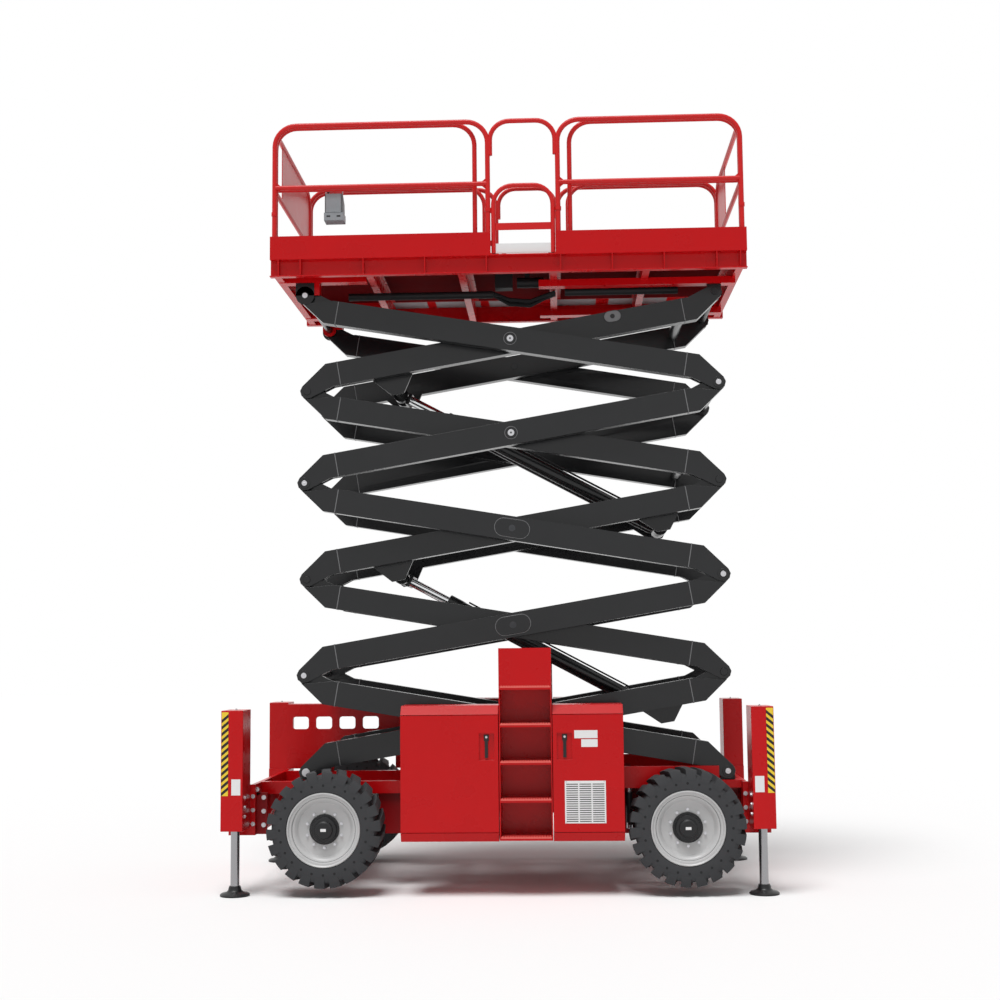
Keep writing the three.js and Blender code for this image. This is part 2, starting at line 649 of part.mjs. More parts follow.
const ENGINE = {
  x: [RIGHT_BOX[0] + 40, RIGHT_BOX[1] - 46],
  y: [49 - BOX_FACE, -BOX_BACK - 20],
  height: 560,
};
add('engine_block', block(ENGINE.x, ENGINE.y,
  [BOX_BOTTOM + BOX_WALL + SEAT_GAP, BOX_BOTTOM + BOX_WALL + ENGINE.height]), CAST);

// ---------------------------------------------------------------- ladders and the far guard

function ladder(side) {
  const [x0, x1] = LADDER_X;
  const pieces = [];
  for (const x of [x0, x1 - STRINGER]) {
    pieces.push(block([x, x + STRINGER], [side * LADDER_BACK, side * BOX_FACE], [LADDER_BOTTOM, LADDER_TOP]));
  }
  pieces.push(block([x0, x1],
    [side * LADDER_BACK, side * (LADDER_BACK + STRINGER)], [LADDER_BOTTOM, LADDER_TOP]));
  for (let i = 0; i < STEP_COUNT; i++) {
    const z = LADDER_BOTTOM + i * STEP_PITCH;
    pieces.push(block([x0, x1], [side * LADDER_BACK, side * BOX_FACE], [z, z + STEP_THICKNESS]));
  }
  const lastStep = LADDER_BOTTOM + (STEP_COUNT - 1) * STEP_PITCH;
  pieces.push(block([x0, x1],
    [side * (BOX_FACE - STRINGER), side * BOX_FACE], [lastStep + STEP_THICKNESS - 1, LADDER_TOP]));
  pieces.push(block([x0 + 60, x1 - 60], [side * (RAIL_OUTER + SEAT_GAP), side * (LADDER_BACK + 2)],
    [RAIL_BOTTOM - CROSS_BEAM_HEIGHT, RAIL_BOTTOM + 20]));
  return join(pieces);
}

for (const [sideName, side] of Object.entries(SIDES)) {
  add(`ladder_${sideName}`, ladder(side), RED);
}

const GUARD = {
  y: BOX_BACK + 3,
  thickness: 8,
  bottom: WHEEL_Z + TYRE_RADIUS + 15,
  top: 1452,
  flangeEnd: JACK_BOX_INNER + 127,
  holes: 4,
  pitch: 216,
  firstX: JACK_FACE.left + 57,
};
const GUARD_HOLE = { width: 146, height: 112, rise: 224, corner: 24 };

// A bent cover plate over the far left wheel, with four rounded windows.
function wheelGuard() {
  const x = [JACK_FACE.left + SEAT_GAP, LEFT_BOX[0] - SEAT_GAP];
  const plate = block(x, [GUARD.y, GUARD.y + GUARD.thickness], [GUARD.bottom, GUARD.top]);
  const flange = block(x, [GUARD.y, GUARD.flangeEnd], [GUARD.top - GUARD.thickness, GUARD.top]);
  const windows = [];
  for (let i = 0; i < GUARD.holes; i++) {
    const left = GUARD.firstX + i * GUARD.pitch;
    const z = GUARD.bottom + GUARD_HOLE.rise;
    const shape = roundedRect(left, z, GUARD_HOLE.width, GUARD_HOLE.height, GUARD_HOLE.corner);
    windows.push(slab(shape, GUARD.y - 5, GUARD.y + GUARD.thickness + 5));
  }
  return cut(join([plate, flange]), windows);
}

function roundedRect(x, z, width, height, corner) {
  const points = [];
  const centres = [
    [x + width - corner, z + height - corner], [x + corner, z + height - corner],
    [x + corner, z + corner], [x + width - corner, z + corner],
  ];
  centres.forEach(([cx, cz], quarter) => {
    for (const step of [0, 0.5, 1]) {
      const a = (quarter + step) * (Math.PI / 2);
      points.push([cx + corner * Math.cos(a), cz + corner * Math.sin(a)]);
    }
  });
  return points;
}

add('wheel_guard', wheelGuard(), RED);

// ---------------------------------------------------------------- scissor arms

// Arm coordinates: u runs along the beam from the lower pin, w is square to it; both pins' rows of
// material overhang the beam by PIN_EDGE, so that folded arms lie parallel, STACK_GAP apart.
const UPPER_PIN = [BEAM_LENGTH, STACK_PITCH];
const BEAM_LOW = PIN_EDGE;
const BEAM_HIGH = PIN_EDGE + ARM_DEPTH;
const flip = ([u, w]) => [UPPER_PIN[0] - u, UPPER_PIN[1] - w];

// The angle at which the tangent from a point meets the eye, on its upper or lower side.
function tangentAngle([u, w], side) {
  return Math.atan2(w, u) + side * Math.acos(EYE_RADIUS / Math.hypot(u, w));
}

function eyePoint(angle, radius = EYE_RADIUS) {
  return [radius * Math.cos(angle), radius * Math.sin(angle)];
}

const EYE_TOP = tangentAngle([END_PLATEAU, BEAM_HIGH], 1);
const EYE_BOTTOM = tangentAngle([END_WEDGE, BEAM_LOW], -1) + 2 * Math.PI;

// Full-width beam: straight edges, with the sloped shoulder down to each pin.
function beamOutline() {
  const shoulder = eyePoint(EYE_TOP);
  const half = [[shoulder[0], shoulder[1]], [shoulder[0], BEAM_LOW], flip([END_PLATEAU, BEAM_HIGH])];
  return [...half, ...half.map(flip)];
}

// Eye plate: round about the pin, running into the beam along its shoulder and its wedge.
function eyeOutline() {
  const points = [];
  const ARC_STEPS = 4;
  for (let i = 0; i <= ARC_STEPS; i++) {
    points.push(eyePoint(EYE_TOP + (i / ARC_STEPS) * (EYE_BOTTOM - EYE_TOP)));
  }
  points.push([END_WEDGE, BEAM_LOW], [END_PLATEAU, BEAM_HIGH]);
  return points;
}

// The room that the neighbouring arm's eye and wedge need in this beam.
function reliefOutline() {
  const end = END_WEDGE + 25;
  const corner = 0.42 * RELIEF_RADIUS;
  return [
    [-RELIEF_RADIUS, -RELIEF_RADIUS], [end, -RELIEF_RADIUS], [end, BEAM_LOW - 2], [0, RELIEF_RADIUS],
    [-corner, RELIEF_RADIUS], [-RELIEF_RADIUS, corner],
  ];
}

// One arm between two distances from the middle. Its lower end is a fork; its upper end is a tongue or a
// fork.
function arm([inner, outer], side, upper) {
  const tongue = [side * (inner + TONGUE_INSET), side * (outer - TONGUE_INSET)];
  const slot = [side * (inner + FORK_PLATE), side * (outer - FORK_PLATE)];
  const plates = [[side * inner, slot[0]], [slot[1], side * outer]];
  const wide = [side * (inner - 5), side * (outer + 5)];
  const beam = slab(beamOutline(), side * inner, side * outer);
  const lowerEyes = plates.map(([a, b]) => slab(eyeOutline(), a, b));
  const upperPlates = upper === 'fork' ? plates : [tongue];
  const upperEyes = upperPlates.map(([a, b]) => slab(eyeOutline().map(flip), a, b));
  const upperGaps = upper === 'fork' ? [slot] : [[wide[0], tongue[0]], [tongue[1], wide[1]]];
  const body = cut(beam, [
    slab(reliefOutline(), ...slot),
    ...upperGaps.map(([a, b]) => slab(reliefOutline().map(flip), a, b)),
  ]);
  return join([body, ...lowerEyes, ...upperEyes]);
}

const CENTRE = [BEAM_LENGTH / 2, STACK_PITCH / 2];
const BASE_PIN = [BASE_PIN_ALONG, BEAM_LOW - BASE_PIN_DROP];
const ROD_PIN = [ROD_PIN_ALONG, BEAM_LOW - ROD_PIN_DROP];

// A pair of arms, joined across by the shaft at the upper pins or by tubes, as one frame.
function armFrame(reach, { upper, bores, across }) {
  const [inner, outer] = reach;
  const arms = Object.values(SIDES).map((side) => cut(arm(reach, side, upper), bores.map(([u, w]) => (
    barY(BORE_RADIUS, u, w, side * (inner - 5), side * (outer + 5))
  ))));
  return join([...arms, ...across]);
}

const crossTube = (radius, [u, w], reach) => barY(radius, u, w, -reach, reach);
const CROSS_TUBE_RADIUS = 45;
const LOWER_TUBE = [300, (BEAM_LOW + BEAM_HIGH) / 2];
const UPPER_TUBE = flip(LOWER_TUBE);

// Outer frame: centre stub pins reach in through the inner arms.
function outerFrame() {
  const stubs = Object.values(SIDES).map((side) =>
    barY(PIN_RADIUS, ...CENTRE, side * (INNER_ARM[0] - PIN_OVERHANG / 2), side * (OUTER_ARM[1] - 10)));
  const shaft = crossTube(PIN_RADIUS, UPPER_PIN, OUTER_ARM[1] + PIN_OVERHANG);
  return armFrame(OUTER_ARM, { upper: 'tongue', bores: [[0, 0]], across: [shaft, ...stubs] });
}

// A pair of hanging bracket plates with a cylinder pin across, welded to the inner arms' inner faces.
function cylinderBracket([u, w]) {
  const outer = INNER_ARM[0] - BRACKET_INSET;
  const inner = outer - BRACKET_PLATE;
  const top = (BEAM_LOW + BEAM_HIGH) / 2;
  const outline = [
    [u - 55, w - 50], [u + 55, w - 50], [u + 150, BEAM_LOW],
    [u + 150, top], [u - 190, top], [u - 190, BEAM_LOW],
  ];
  const pieces = [crossTube(CYLINDER_PIN_RADIUS, [u, w], inner + 5)];
  for (const side of Object.values(SIDES)) {
    pieces.push(slab(outline, side * inner, side * outer));
    pieces.push(block([u - 180, u + 140],
      [side * (outer - 1), side * (INNER_ARM[0] + 1)], [BEAM_LOW + 5, top - 5]));
  }
  return join(pieces);
}

// Round collars on the rods' pin, one for each rod.
function rodCollars([u, w]) {
  return Object.values(SIDES).map((side) => barY(BARREL_RADIUS, u, w,
    side * (CYLINDER_OFFSET - 45), side * (CYLINDER_OFFSET + 45)));
}

function innerFrame(level) {
  const last = level === LEVELS;
  const across = [];
  if (level % 2 === 0) across.push(crossTube(CROSS_TUBE_RADIUS, LOWER_TUBE, INNER_ARM[0] + 5));
  if (last) across.push(crossTube(CROSS_TUBE_RADIUS, UPPER_TUBE, INNER_ARM[0] + 5));
  else across.push(crossTube(PIN_RADIUS, UPPER_PIN, INNER_ARM[1] + PIN_OVERHANG));
  const holdsBase = level % 2 === 1 && !last;
  const holdsRods = level % 2 === 1 && level > 1;
  if (holdsBase) across.push(cylinderBracket(BASE_PIN));
  if (holdsRods) across.push(cylinderBracket(ROD_PIN), ...rodCollars(ROD_PIN));
  const bores = last ? [[0, 0], CENTRE, UPPER_PIN] : [[0, 0], CENTRE];
  return armFrame(INNER_ARM, { upper: last ? 'fork' : 'tongue', bores, across });
}

// Where a level's arm starts and which way it leans: the inner arms of odd levels rise to the right.
function armPlace(level, kind) {
  const rising = (level % 2 === 1) === (kind === 'inner') ? 1 : -1;
  const z = PIVOT_Z + (level - 1) * LEVEL_RISE;
  const x = rising > 0 ? PIVOT_X : SLIDE_X;
  return { rising, position: [x, 0, z], rotation: [0, -rising * BEAM_ANGLE, rising > 0 ? 0 : Math.PI] };
}

for (let level = 1; level <= LEVELS; level++) {
  add(`inner_arms_${level}`, innerFrame(level), ARM_BLACK, armPlace(level, 'inner'));
  add(`outer_arms_${level}`, outerFrame(), ARM_BLACK, armPlace(level, 'outer'));
}

// Sliding pads at the open ends of the scissor, each pair on its own shaft.
function slidePads([inner, outer], below, above) {
  const pieces = [crossTube(PIN_RADIUS, [0, 0], outer + PIN_OVERHANG)];
  for (const side of Object.values(SIDES)) {
    pieces.push(block([-SLIDE_PAD_HALF, SLIDE_PAD_HALF],
      [side * (inner + TONGUE_INSET), side * (outer - TONGUE_INSET)], [-below, above]));
  }
  return join(pieces);
}

const LOWER_PADS = slidePads(OUTER_ARM, SLIDE_PAD_BELOW, SLIDE_PAD_ABOVE);
add('lower_slide_pads', LOWER_PADS, BLACK, { position: [SLIDE_X, 0, PIVOT_Z] });
const UPPER_PADS = slidePads(INNER_ARM, SLIDE_PAD_ABOVE, SLIDE_PAD_BELOW);
add('upper_slide_pads', UPPER_PADS, BLACK, { position: [SLIDE_X, 0, TOP_PIN_Z] });

// ---------------------------------------------------------------- lift cylinders

// A point of an arm frame in the machine's frame, for arms that rise to the right.
function armPoint(level, [u, w]) {
  const { position } = armPlace(level, 'inner');
  return [
    position[0] + u * Math.cos(BEAM_ANGLE) - w * Math.sin(BEAM_ANGLE),
    position[2] + u * Math.sin(BEAM_ANGLE) + w * Math.cos(BEAM_ANGLE),
  ];
}

function cylinderBarrels() {
  const sleeve = CYLINDER_PIN_RADIUS + RUN_GAP;
  const pieces = [barY(BARREL_RADIUS, 0, 0, -CYLINDER_OFFSET - 60, CYLINDER_OFFSET + 60)];
  for (const side of Object.values(SIDES)) {
    pieces.push(barX(BARREL_RADIUS, side * CYLINDER_OFFSET, 0, 0, BARREL_LENGTH));
  }
  for (const u of [BARREL_LENGTH - 60, BARREL_LENGTH / 2]) {
    pieces.push(block([u - 30, u + 30], [-CYLINDER_OFFSET, CYLINDER_OFFSET], [-45, 45]));
  }
  const bores = Object.values(SIDES).map((side) => barX(ROD_RADIUS + RUN_GAP, side * CYLINDER_OFFSET, 0,
    BARREL_BORE_START, BARREL_LENGTH + 5));
  return cut(join(pieces), [...bores, barY(sleeve, 0, 0, -CYLINDER_OFFSET - 70, CYLINDER_OFFSET + 70)]);
}

// Rods with the plate that ties them, ending just short of the collars on their pin.
function cylinderRods(pinDistance) {
  const end = pinDistance - BARREL_RADIUS - ROD_END_GAP;
  const pieces = Object.values(SIDES).map((side) =>
    barX(ROD_RADIUS, side * CYLINDER_OFFSET, 0, end - ROD_LENGTH, end));
  pieces.push(block([end - ROD_HEAD_THICKNESS, end],
    [-CYLINDER_OFFSET - 50, CYLINDER_OFFSET + 50], [-50, 50]));
  return join(pieces);
}

for (const [name, level] of [['lower', 1], ['upper', 3]]) {
  const [baseX, baseZ] = armPoint(level, BASE_PIN);
  const [topX, topZ] = armPoint(level + 2, ROD_PIN);
  const lean = Math.atan2(topZ - baseZ, baseX - topX);
  const place = { position: [baseX, 0, baseZ], rotation: [0, lean, Math.PI] };
  add(`${name}_cylinder_barrels`, cylinderBarrels(), BLACK, place);
  add(`${name}_cylinder_rods`, cylinderRods(Math.hypot(topZ - baseZ, baseX - topX)), CHROME, place);
}

// ---------------------------------------------------------------- platform

const SLIDE_TRACK = [380, PLATFORM_ENDS[1] - 60];
const CROSS_BEAM_COUNT = 6;
const LUG_DROP_ROOT = 20;
const LUG_BEAM = [PIVOT_X - 220, PIVOT_X + 520];

function platformLugs(side) {
  const [inner, outer] = OUTER_ARM;
  const plates = [[inner, inner + FORK_PLATE - 2], [outer - FORK_PLATE + 2, outer]];
  return plates.map(([a, b]) => cut(join([
    barY(EYE_RADIUS, PIVOT_X, TOP_PIN_Z, side * a, side * b),
    block([PIVOT_X - EYE_RADIUS, PIVOT_X + EYE_RADIUS + 60], [side * a, side * b],
      [TOP_PIN_Z + 5, DECK_BOTTOM + LUG_DROP_ROOT]),
  ]), [barY(BORE_RADIUS, PIVOT_X, TOP_PIN_Z, side * (a - 5), side * (b + 5))]));
}

function platformDeck() {
  const [x0, x1] = PLATFORM_ENDS;
  const [g0, g1] = GATE_OPENING;
  const top = DECK_BOTTOM + SIDE_BEAM_HEIGHT;
  const web = PLATFORM_SIDE - SIDE_BEAM_DEPTH;
  const pieces = [block([x0, x1], [-PLATFORM_SIDE, PLATFORM_SIDE], [top, FLOOR_Z])];
  for (const side of Object.values(SIDES)) {
    pieces.push(block([x0, x1], [side * (web - BEAM_WALL), side * web], [DECK_BOTTOM, top + 2]));
    pieces.push(block([x0, x1],
      [side * (web - 2), side * PLATFORM_SIDE], [DECK_BOTTOM, DECK_BOTTOM + BEAM_WALL]));
    for (const length of [[x0, g0 + RAIL_TUBE_RADIUS], [g1 - RAIL_TUBE_RADIUS, x1]]) {
      pieces.push(block(length, [side * (PLATFORM_SIDE - TOE_BOARD_THICKNESS), side * PLATFORM_SIDE],
        [top + 2, DECK_BOTTOM + TOE_BOARD_TOP]));
    }
    pieces.push(block(SLIDE_TRACK, [side * INNER_ARM[0], side * INNER_ARM[1]],
      [TOP_PIN_Z + SLIDE_PAD_BELOW + SLIDE_GAP, DECK_BOTTOM + LUG_DROP_ROOT]));
    pieces.push(...platformLugs(side));
    pieces.push(block(LUG_BEAM, [side * OUTER_ARM[0], side * OUTER_ARM[1]], [DECK_BOTTOM, top + 2]));
  }
  for (let i = 0; i < CROSS_BEAM_COUNT; i++) {
    const x = x0 + 60 + (i / (CROSS_BEAM_COUNT - 1)) * (x1 - x0 - 120);
    pieces.push(block([x - 30, x + 30], [-web, web], [DECK_BOTTOM + 4, top + 2]));
  }
  return join(pieces);
}

const up = (x, y, z) => new THREE.Vector3(x, y, z);
const RAIL_BEND = 180;
const GATE_BEND = 162;
const RAIL_FOOT = FLOOR_Z + SEAT_GAP;
const TOP_RAIL_Z = DECK_BOTTOM + TOP_RAIL_RISE;
const MID_RAIL_Z = DECK_BOTTOM + MID_RAIL_RISE;

// A hoop on the floor with a middle rail.
function railSection([a, b], y) {
  return join([
    hoop(up(a, y, RAIL_FOOT), up(b, y, RAIL_FOOT), TOP_RAIL_Z, RAIL_BEND, RAIL_TUBE_RADIUS),
    barX(RAIL_TUBE_RADIUS - 1, y, MID_RAIL_Z, a, b, TUBE_SIDES),
  ]);
}

const GATE_HOOP_FOOT = 1000;

// Main guard rail of one side: two sections with a high hoop over the gate between them.
function guardRail(side) {
  const y = side * RAIL_Y;
  const [g0, g1] = GATE_OPENING;
  const left = railSection([PLATFORM_ENDS[0] + 30, g0], y);
  const right = railSection([g1, PLATFORM_ENDS[1] - 30], y);
  const overlap = RAIL_TUBE_RADIUS;
  const foot = DECK_BOTTOM + GATE_HOOP_FOOT;
  const bridge = hoop(up(g0 + overlap, y, foot), up(g1 - overlap, y, foot),
    TOP_RAIL_Z, GATE_BEND, RAIL_TUBE_RADIUS - 1);
  return join([left, right, bridge]);
}

const GATE = { foot: 12, gap: 3, kickPlate: 83 };

// Gate: a hoop with a cross plate and a kick plate; its hinge post stands beside the rail's end post.
function gate(side) {
  const y = side * RAIL_Y;
  const step = 2 * RAIL_TUBE_RADIUS + GATE.gap;
  const [a, b] = [GATE_OPENING[0] + step, GATE_OPENING[1] - step];
  const foot = FLOOR_Z + GATE.foot;
  const frame = hoop(up(a, y, foot), up(b, y, foot), MID_RAIL_Z - 20, GATE_BEND, RAIL_TUBE_RADIUS - 2);
  const cross = block([a, b], [y - 3, y + 3], [MID_RAIL_Z - 400, MID_RAIL_Z - 340]);
  const kick = block([a, b], [y - 4, y + 4], [foot, foot + GATE.kickPlate]);
  const postFace = a - step + RAIL_TUBE_RADIUS * TUBE_FLAT;
  const knuckles = [MID_RAIL_Z - 510, MID_RAIL_Z - 230].map((z) =>
    block([postFace + SEAT_GAP, a], [y - 8, y + 8], [z - 25, z + 25]));
  return join([frame, cross, kick, ...knuckles]);
}

// Sliding deck with rails on its sides and its outer end; `end` is the side that it slides out to.
function extension(end, length) {
  const outerX = end < 0 ? PLATFORM_ENDS[0] : PLATFORM_ENDS[1];
  const innerX = outerX - end * length;
  const z = FLOOR_Z + SEAT_GAP;
  const half = EXTENSION_RAIL_Y + RAIL_TUBE_RADIUS;
  const tubeZ = z + EXTENSION_DECK_THICKNESS - 1;
  const railX = [outerX - end * 30, innerX + end * 30];
  const pieces = [
    block([outerX, innerX], [-half, half], [z, z + EXTENSION_DECK_THICKNESS]),
    block([outerX, outerX - end * TOE_BOARD_THICKNESS], [-half, half], [z, DECK_BOTTOM + TOE_BOARD_TOP]),
    hoop(up(railX[0], -EXTENSION_RAIL_Y, tubeZ), up(railX[0], EXTENSION_RAIL_Y, tubeZ),
      TOP_RAIL_Z - 44, RAIL_BEND, RAIL_TUBE_RADIUS),
    barY(RAIL_TUBE_RADIUS - 1, railX[0], MID_RAIL_Z - 20, -EXTENSION_RAIL_Y, EXTENSION_RAIL_Y, TUBE_SIDES),
  ];
  for (const side of Object.values(SIDES)) {
    const y = side * EXTENSION_RAIL_Y;
    const [a, b] = sorted(...railX);
    pieces.push(hoop(up(a, y, tubeZ), up(b, y, tubeZ), TOP_RAIL_Z, RAIL_BEND, RAIL_TUBE_RADIUS - 1));
    pieces.push(barX(RAIL_TUBE_RADIUS - 2, y, MID_RAIL_Z, a, b, TUBE_SIDES));
  }
  return join(pieces);
}

add('platform_deck', platformDeck(), RED);
for (const [sideName, side] of Object.entries(SIDES)) {
  add(`guard_rail_${sideName}`, guardRail(side), RED);
  add(`gate_${sideName}`, gate(side), RED);
}
add('extension_left', extension(-1, LEFT_EXTENSION_LENGTH), RED);
add('extension_right', extension(1, RIGHT_EXTENSION_LENGTH), RED);

// The control box hangs inside the near rail of the left extension, against the middle tube's flat.
const CONTROL_BOX = { x: [-1466, -1252], z: [MID_RAIL_Z - 260, MID_RAIL_Z - 9], depth: 130 };
const CONTROL_Y = -(EXTENSION_RAIL_Y - (RAIL_TUBE_RADIUS - 2) * TUBE_FLAT - SEAT_GAP);
add('control_box', block(CONTROL_BOX.x, [CONTROL_Y, CONTROL_Y + CONTROL_BOX.depth], CONTROL_BOX.z), GREY);

export default machine;
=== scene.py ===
"""Looks of the rough-terrain scissor lift: finishes, fine shapes and the studio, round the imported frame."""

import json
import math

import bmesh
import bpy
from mathutils import Matrix, Vector


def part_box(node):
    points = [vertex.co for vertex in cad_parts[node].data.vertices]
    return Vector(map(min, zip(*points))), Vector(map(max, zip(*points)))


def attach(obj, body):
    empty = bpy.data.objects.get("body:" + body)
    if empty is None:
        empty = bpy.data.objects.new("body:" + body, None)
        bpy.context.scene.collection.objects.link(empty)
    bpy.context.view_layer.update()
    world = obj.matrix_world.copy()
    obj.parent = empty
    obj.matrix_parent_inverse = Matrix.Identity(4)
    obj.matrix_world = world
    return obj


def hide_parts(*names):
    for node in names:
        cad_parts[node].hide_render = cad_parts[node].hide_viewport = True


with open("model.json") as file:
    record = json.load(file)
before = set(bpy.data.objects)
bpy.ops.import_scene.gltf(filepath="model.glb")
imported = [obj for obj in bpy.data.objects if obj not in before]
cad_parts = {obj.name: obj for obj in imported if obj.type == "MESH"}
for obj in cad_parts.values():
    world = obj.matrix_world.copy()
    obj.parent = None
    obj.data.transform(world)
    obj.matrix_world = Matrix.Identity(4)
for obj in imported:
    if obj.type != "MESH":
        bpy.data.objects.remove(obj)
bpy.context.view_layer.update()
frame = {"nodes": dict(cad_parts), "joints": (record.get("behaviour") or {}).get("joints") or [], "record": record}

SIDES = {"near": -1, "far": 1}
ENDS = {"left": -1, "right": 1}
LEVELS = 5
X, Y, Z = Vector((1, 0, 0)), Vector((0, 1, 0)), Vector((0, 0, 1))


# ---------------------------------------------------------------- materials

COAT_ROUGHNESS = 0.12
GLOSS_SPREAD = 0.15
MOTTLE_COARSENESS = 12
MOTTLE_DETAIL = 4
GRAIN_FINENESS = 8
GRAIN_DEPTH = 0.0006


def material(name, colour, roughness, metallic=0.0, coat=0.0, grain=0.0, mottle=0.0, scale=60.0, shine=0.5):
    """A surface with a little mottling in its colour and roughness, and a fine grain in its relief."""
    made = bpy.data.materials.new(name)
    made.use_nodes = True
    nodes, links = made.node_tree.nodes, made.node_tree.links
    shader = nodes["Principled BSDF"]
    shader.inputs["Metallic"].default_value = metallic
    shader.inputs["Coat Weight"].default_value = coat
    shader.inputs["Specular IOR Level"].default_value = shine
    shader.inputs["Coat Roughness"].default_value = COAT_ROUGHNESS
    place = nodes.new("ShaderNodeTexCoord")
    noise = nodes.new("ShaderNodeTexNoise")
    noise.inputs["Scale"].default_value = scale / MOTTLE_COARSENESS
    noise.inputs["Detail"].default_value = MOTTLE_DETAIL
    links.new(place.outputs["Object"], noise.inputs["Vector"])
    tone = nodes.new("ShaderNodeMix")
    tone.data_type = "RGBA"
    tone.inputs["A"].default_value = (*[c * (1 - mottle) for c in colour], 1)
    tone.inputs["B"].default_value = (*[min(1, c * (1 + mottle)) for c in colour], 1)
    links.new(noise.outputs["Fac"], tone.inputs["Factor"])
    links.new(tone.outputs["Result"], shader.inputs["Base Color"])
    gloss = nodes.new("ShaderNodeMapRange")
    gloss.inputs["To Min"].default_value = roughness * (1 - GLOSS_SPREAD)
    gloss.inputs["To Max"].default_value = roughness * (1 + GLOSS_SPREAD)
    links.new(noise.outputs["Fac"], gloss.inputs["Value"])
    links.new(gloss.outputs["Result"], shader.inputs["Roughness"])
    if grain:
        fine = nodes.new("ShaderNodeTexNoise")
        fine.inputs["Scale"].default_value = scale * GRAIN_FINENESS
        bump = nodes.new("ShaderNodeBump")
        bump.inputs["Strength"].default_value = grain
        bump.inputs["Distance"].default_value = GRAIN_DEPTH
        links.new(place.outputs["Object"], fine.inputs["Vector"])
        links.new(fine.outputs["Fac"], bump.inputs["Height"])
        links.new(bump.outputs["Normal"], shader.inputs["Normal"])
    return made


RED = material("red_gloss", (0.52, 0.002, 0.004), 0.28, coat=0.04, grain=0.15, mottle=0.06, shine=0.2)
# A darker copy of the body red: painted shade on the chassis plates behind the wheels and on the outrigger
# brackets.
PLATE_SHADE_RED = material("red_shaded", (0.24, 0.001, 0.003), 0.4, coat=0.03, grain=0.15, mottle=0.08, shine=0.2)
# Near-black matte red for the sheets of painted shade under the deck.
SHADE_RED = material("red_underside_shade", (0.1, 0.001, 0.002), 0.9, grain=0.3, mottle=0.2, shine=0.03)
# A lighter, more orange copy of the body red for the rail, gate and extension tubes: painted light.
RAIL_LIT_RED = material("red_rail_lit", (0.6, 0.012, 0.012), 0.34, coat=0.05, grain=0.1, mottle=0.05, shine=0.25)
# A lighter, pinker red on the ladder's step lips and teeth: painted highlight.
STEP_HIGHLIGHT_RED = material("red_step_highlight", (0.74, 0.12, 0.1), 0.45, grain=0.2, mottle=0.1)
ARM = material("arm_gloss", (0.011, 0.0115, 0.0125), 0.24, coat=0.15, grain=0.2, mottle=0.2, shine=0.3)
# Light grey for the weld beads and seam rings on the black arms: the beads are real, their lightness is painted
# highlight.
HIGHLIGHT_GREY = material("arm_seam_highlight", (0.16, 0.16, 0.165), 0.4, metallic=0.4, grain=0.5, mottle=0.2)
BLACK = material("black_satin", (0.01, 0.01, 0.011), 0.4, coat=0.1, grain=0.2, mottle=0.1, shine=0.3)
RUBBER = material("tyre_rubber", (0.046, 0.047, 0.05), 0.8, grain=0.6, mottle=0.2, shine=0.25)
# Near-black rubber of hoses and pipes, also used as painted shade in the tyres' holes and between the grille's
# slats.
HOSE_AND_SHADE = material("hose_rubber_and_shade", (0.008, 0.008, 0.009), 0.55, grain=0.3, mottle=0.1, shine=0.3)
RIM = material("rim_grey", (0.5, 0.5, 0.5), 0.38, coat=0.1, grain=0.15, mottle=0.08)
CHROME = material("chrome", (0.7, 0.71, 0.72), 0.12, metallic=1.0, mottle=0.02)
LEG_STEEL = material("leg_steel", (0.34, 0.34, 0.35), 0.25, metallic=1.0, mottle=0.05)
STEEL = material("bolt_steel", (0.55, 0.55, 0.57), 0.3, metallic=0.9, grain=0.2, mottle=0.08)
# Dark cast steel, also used as painted shade in the rims' grooves.
CAST_STEEL_AND_SHADE = material("cast_steel", (0.04, 0.042, 0.046), 0.6, metallic=0.4, grain=0.7, mottle=0.2)
GREY = material("box_grey", (0.32, 0.34, 0.36), 0.45, grain=0.3, mottle=0.05)
CONSOLE = material("console_grey", (0.16, 0.165, 0.17), 0.5, grain=0.3, mottle=0.05)
WHITE = material("label_white", (0.8, 0.8, 0.8), 0.4, mottle=0.02)
YELLOW = material("stripe_yellow", (0.85, 0.6, 0.03), 0.4, mottle=0.03)
DECK = material("deck_grey", (0.3, 0.3, 0.31), 0.55, metallic=0.3, grain=0.6, mottle=0.1)


# ---------------------------------------------------------------- building pieces

MERGE = 1e-6
CAD_MERGE = 2e-5
CAD_FLAT_DEGREES = 1.5
BEVEL_DEGREES = 34
BEVEL_CUTS = 2
MITRE_LIMIT = 0.3
STRAIGHT = 1e-4
WASHER_THICK, WASHER_WIDTH = 0.25, 1.35


def around(count, shift=0.0):
    """Angles of places spread evenly over a full turn."""
    return [2 * math.pi * (i + shift) / count for i in range(count)]


def polar(radius, angle, height=0.0):
    """A point at a radius, an angle and a height about the Z axis."""
    return Vector((radius * math.cos(angle), radius * math.sin(angle), height))


def placed(origin, along, square):
    """A frame at a point, with its X along one way and its Z along another."""
    made = Matrix((along, Y, square)).transposed().to_4x4()
    made.translation = origin
    return made


def moved(rings, matrix):
    """The rings' points in the matrix's frame, or as they are where there is no matrix."""
    return [[matrix @ p for p in ring] for ring in rings] if matrix else rings


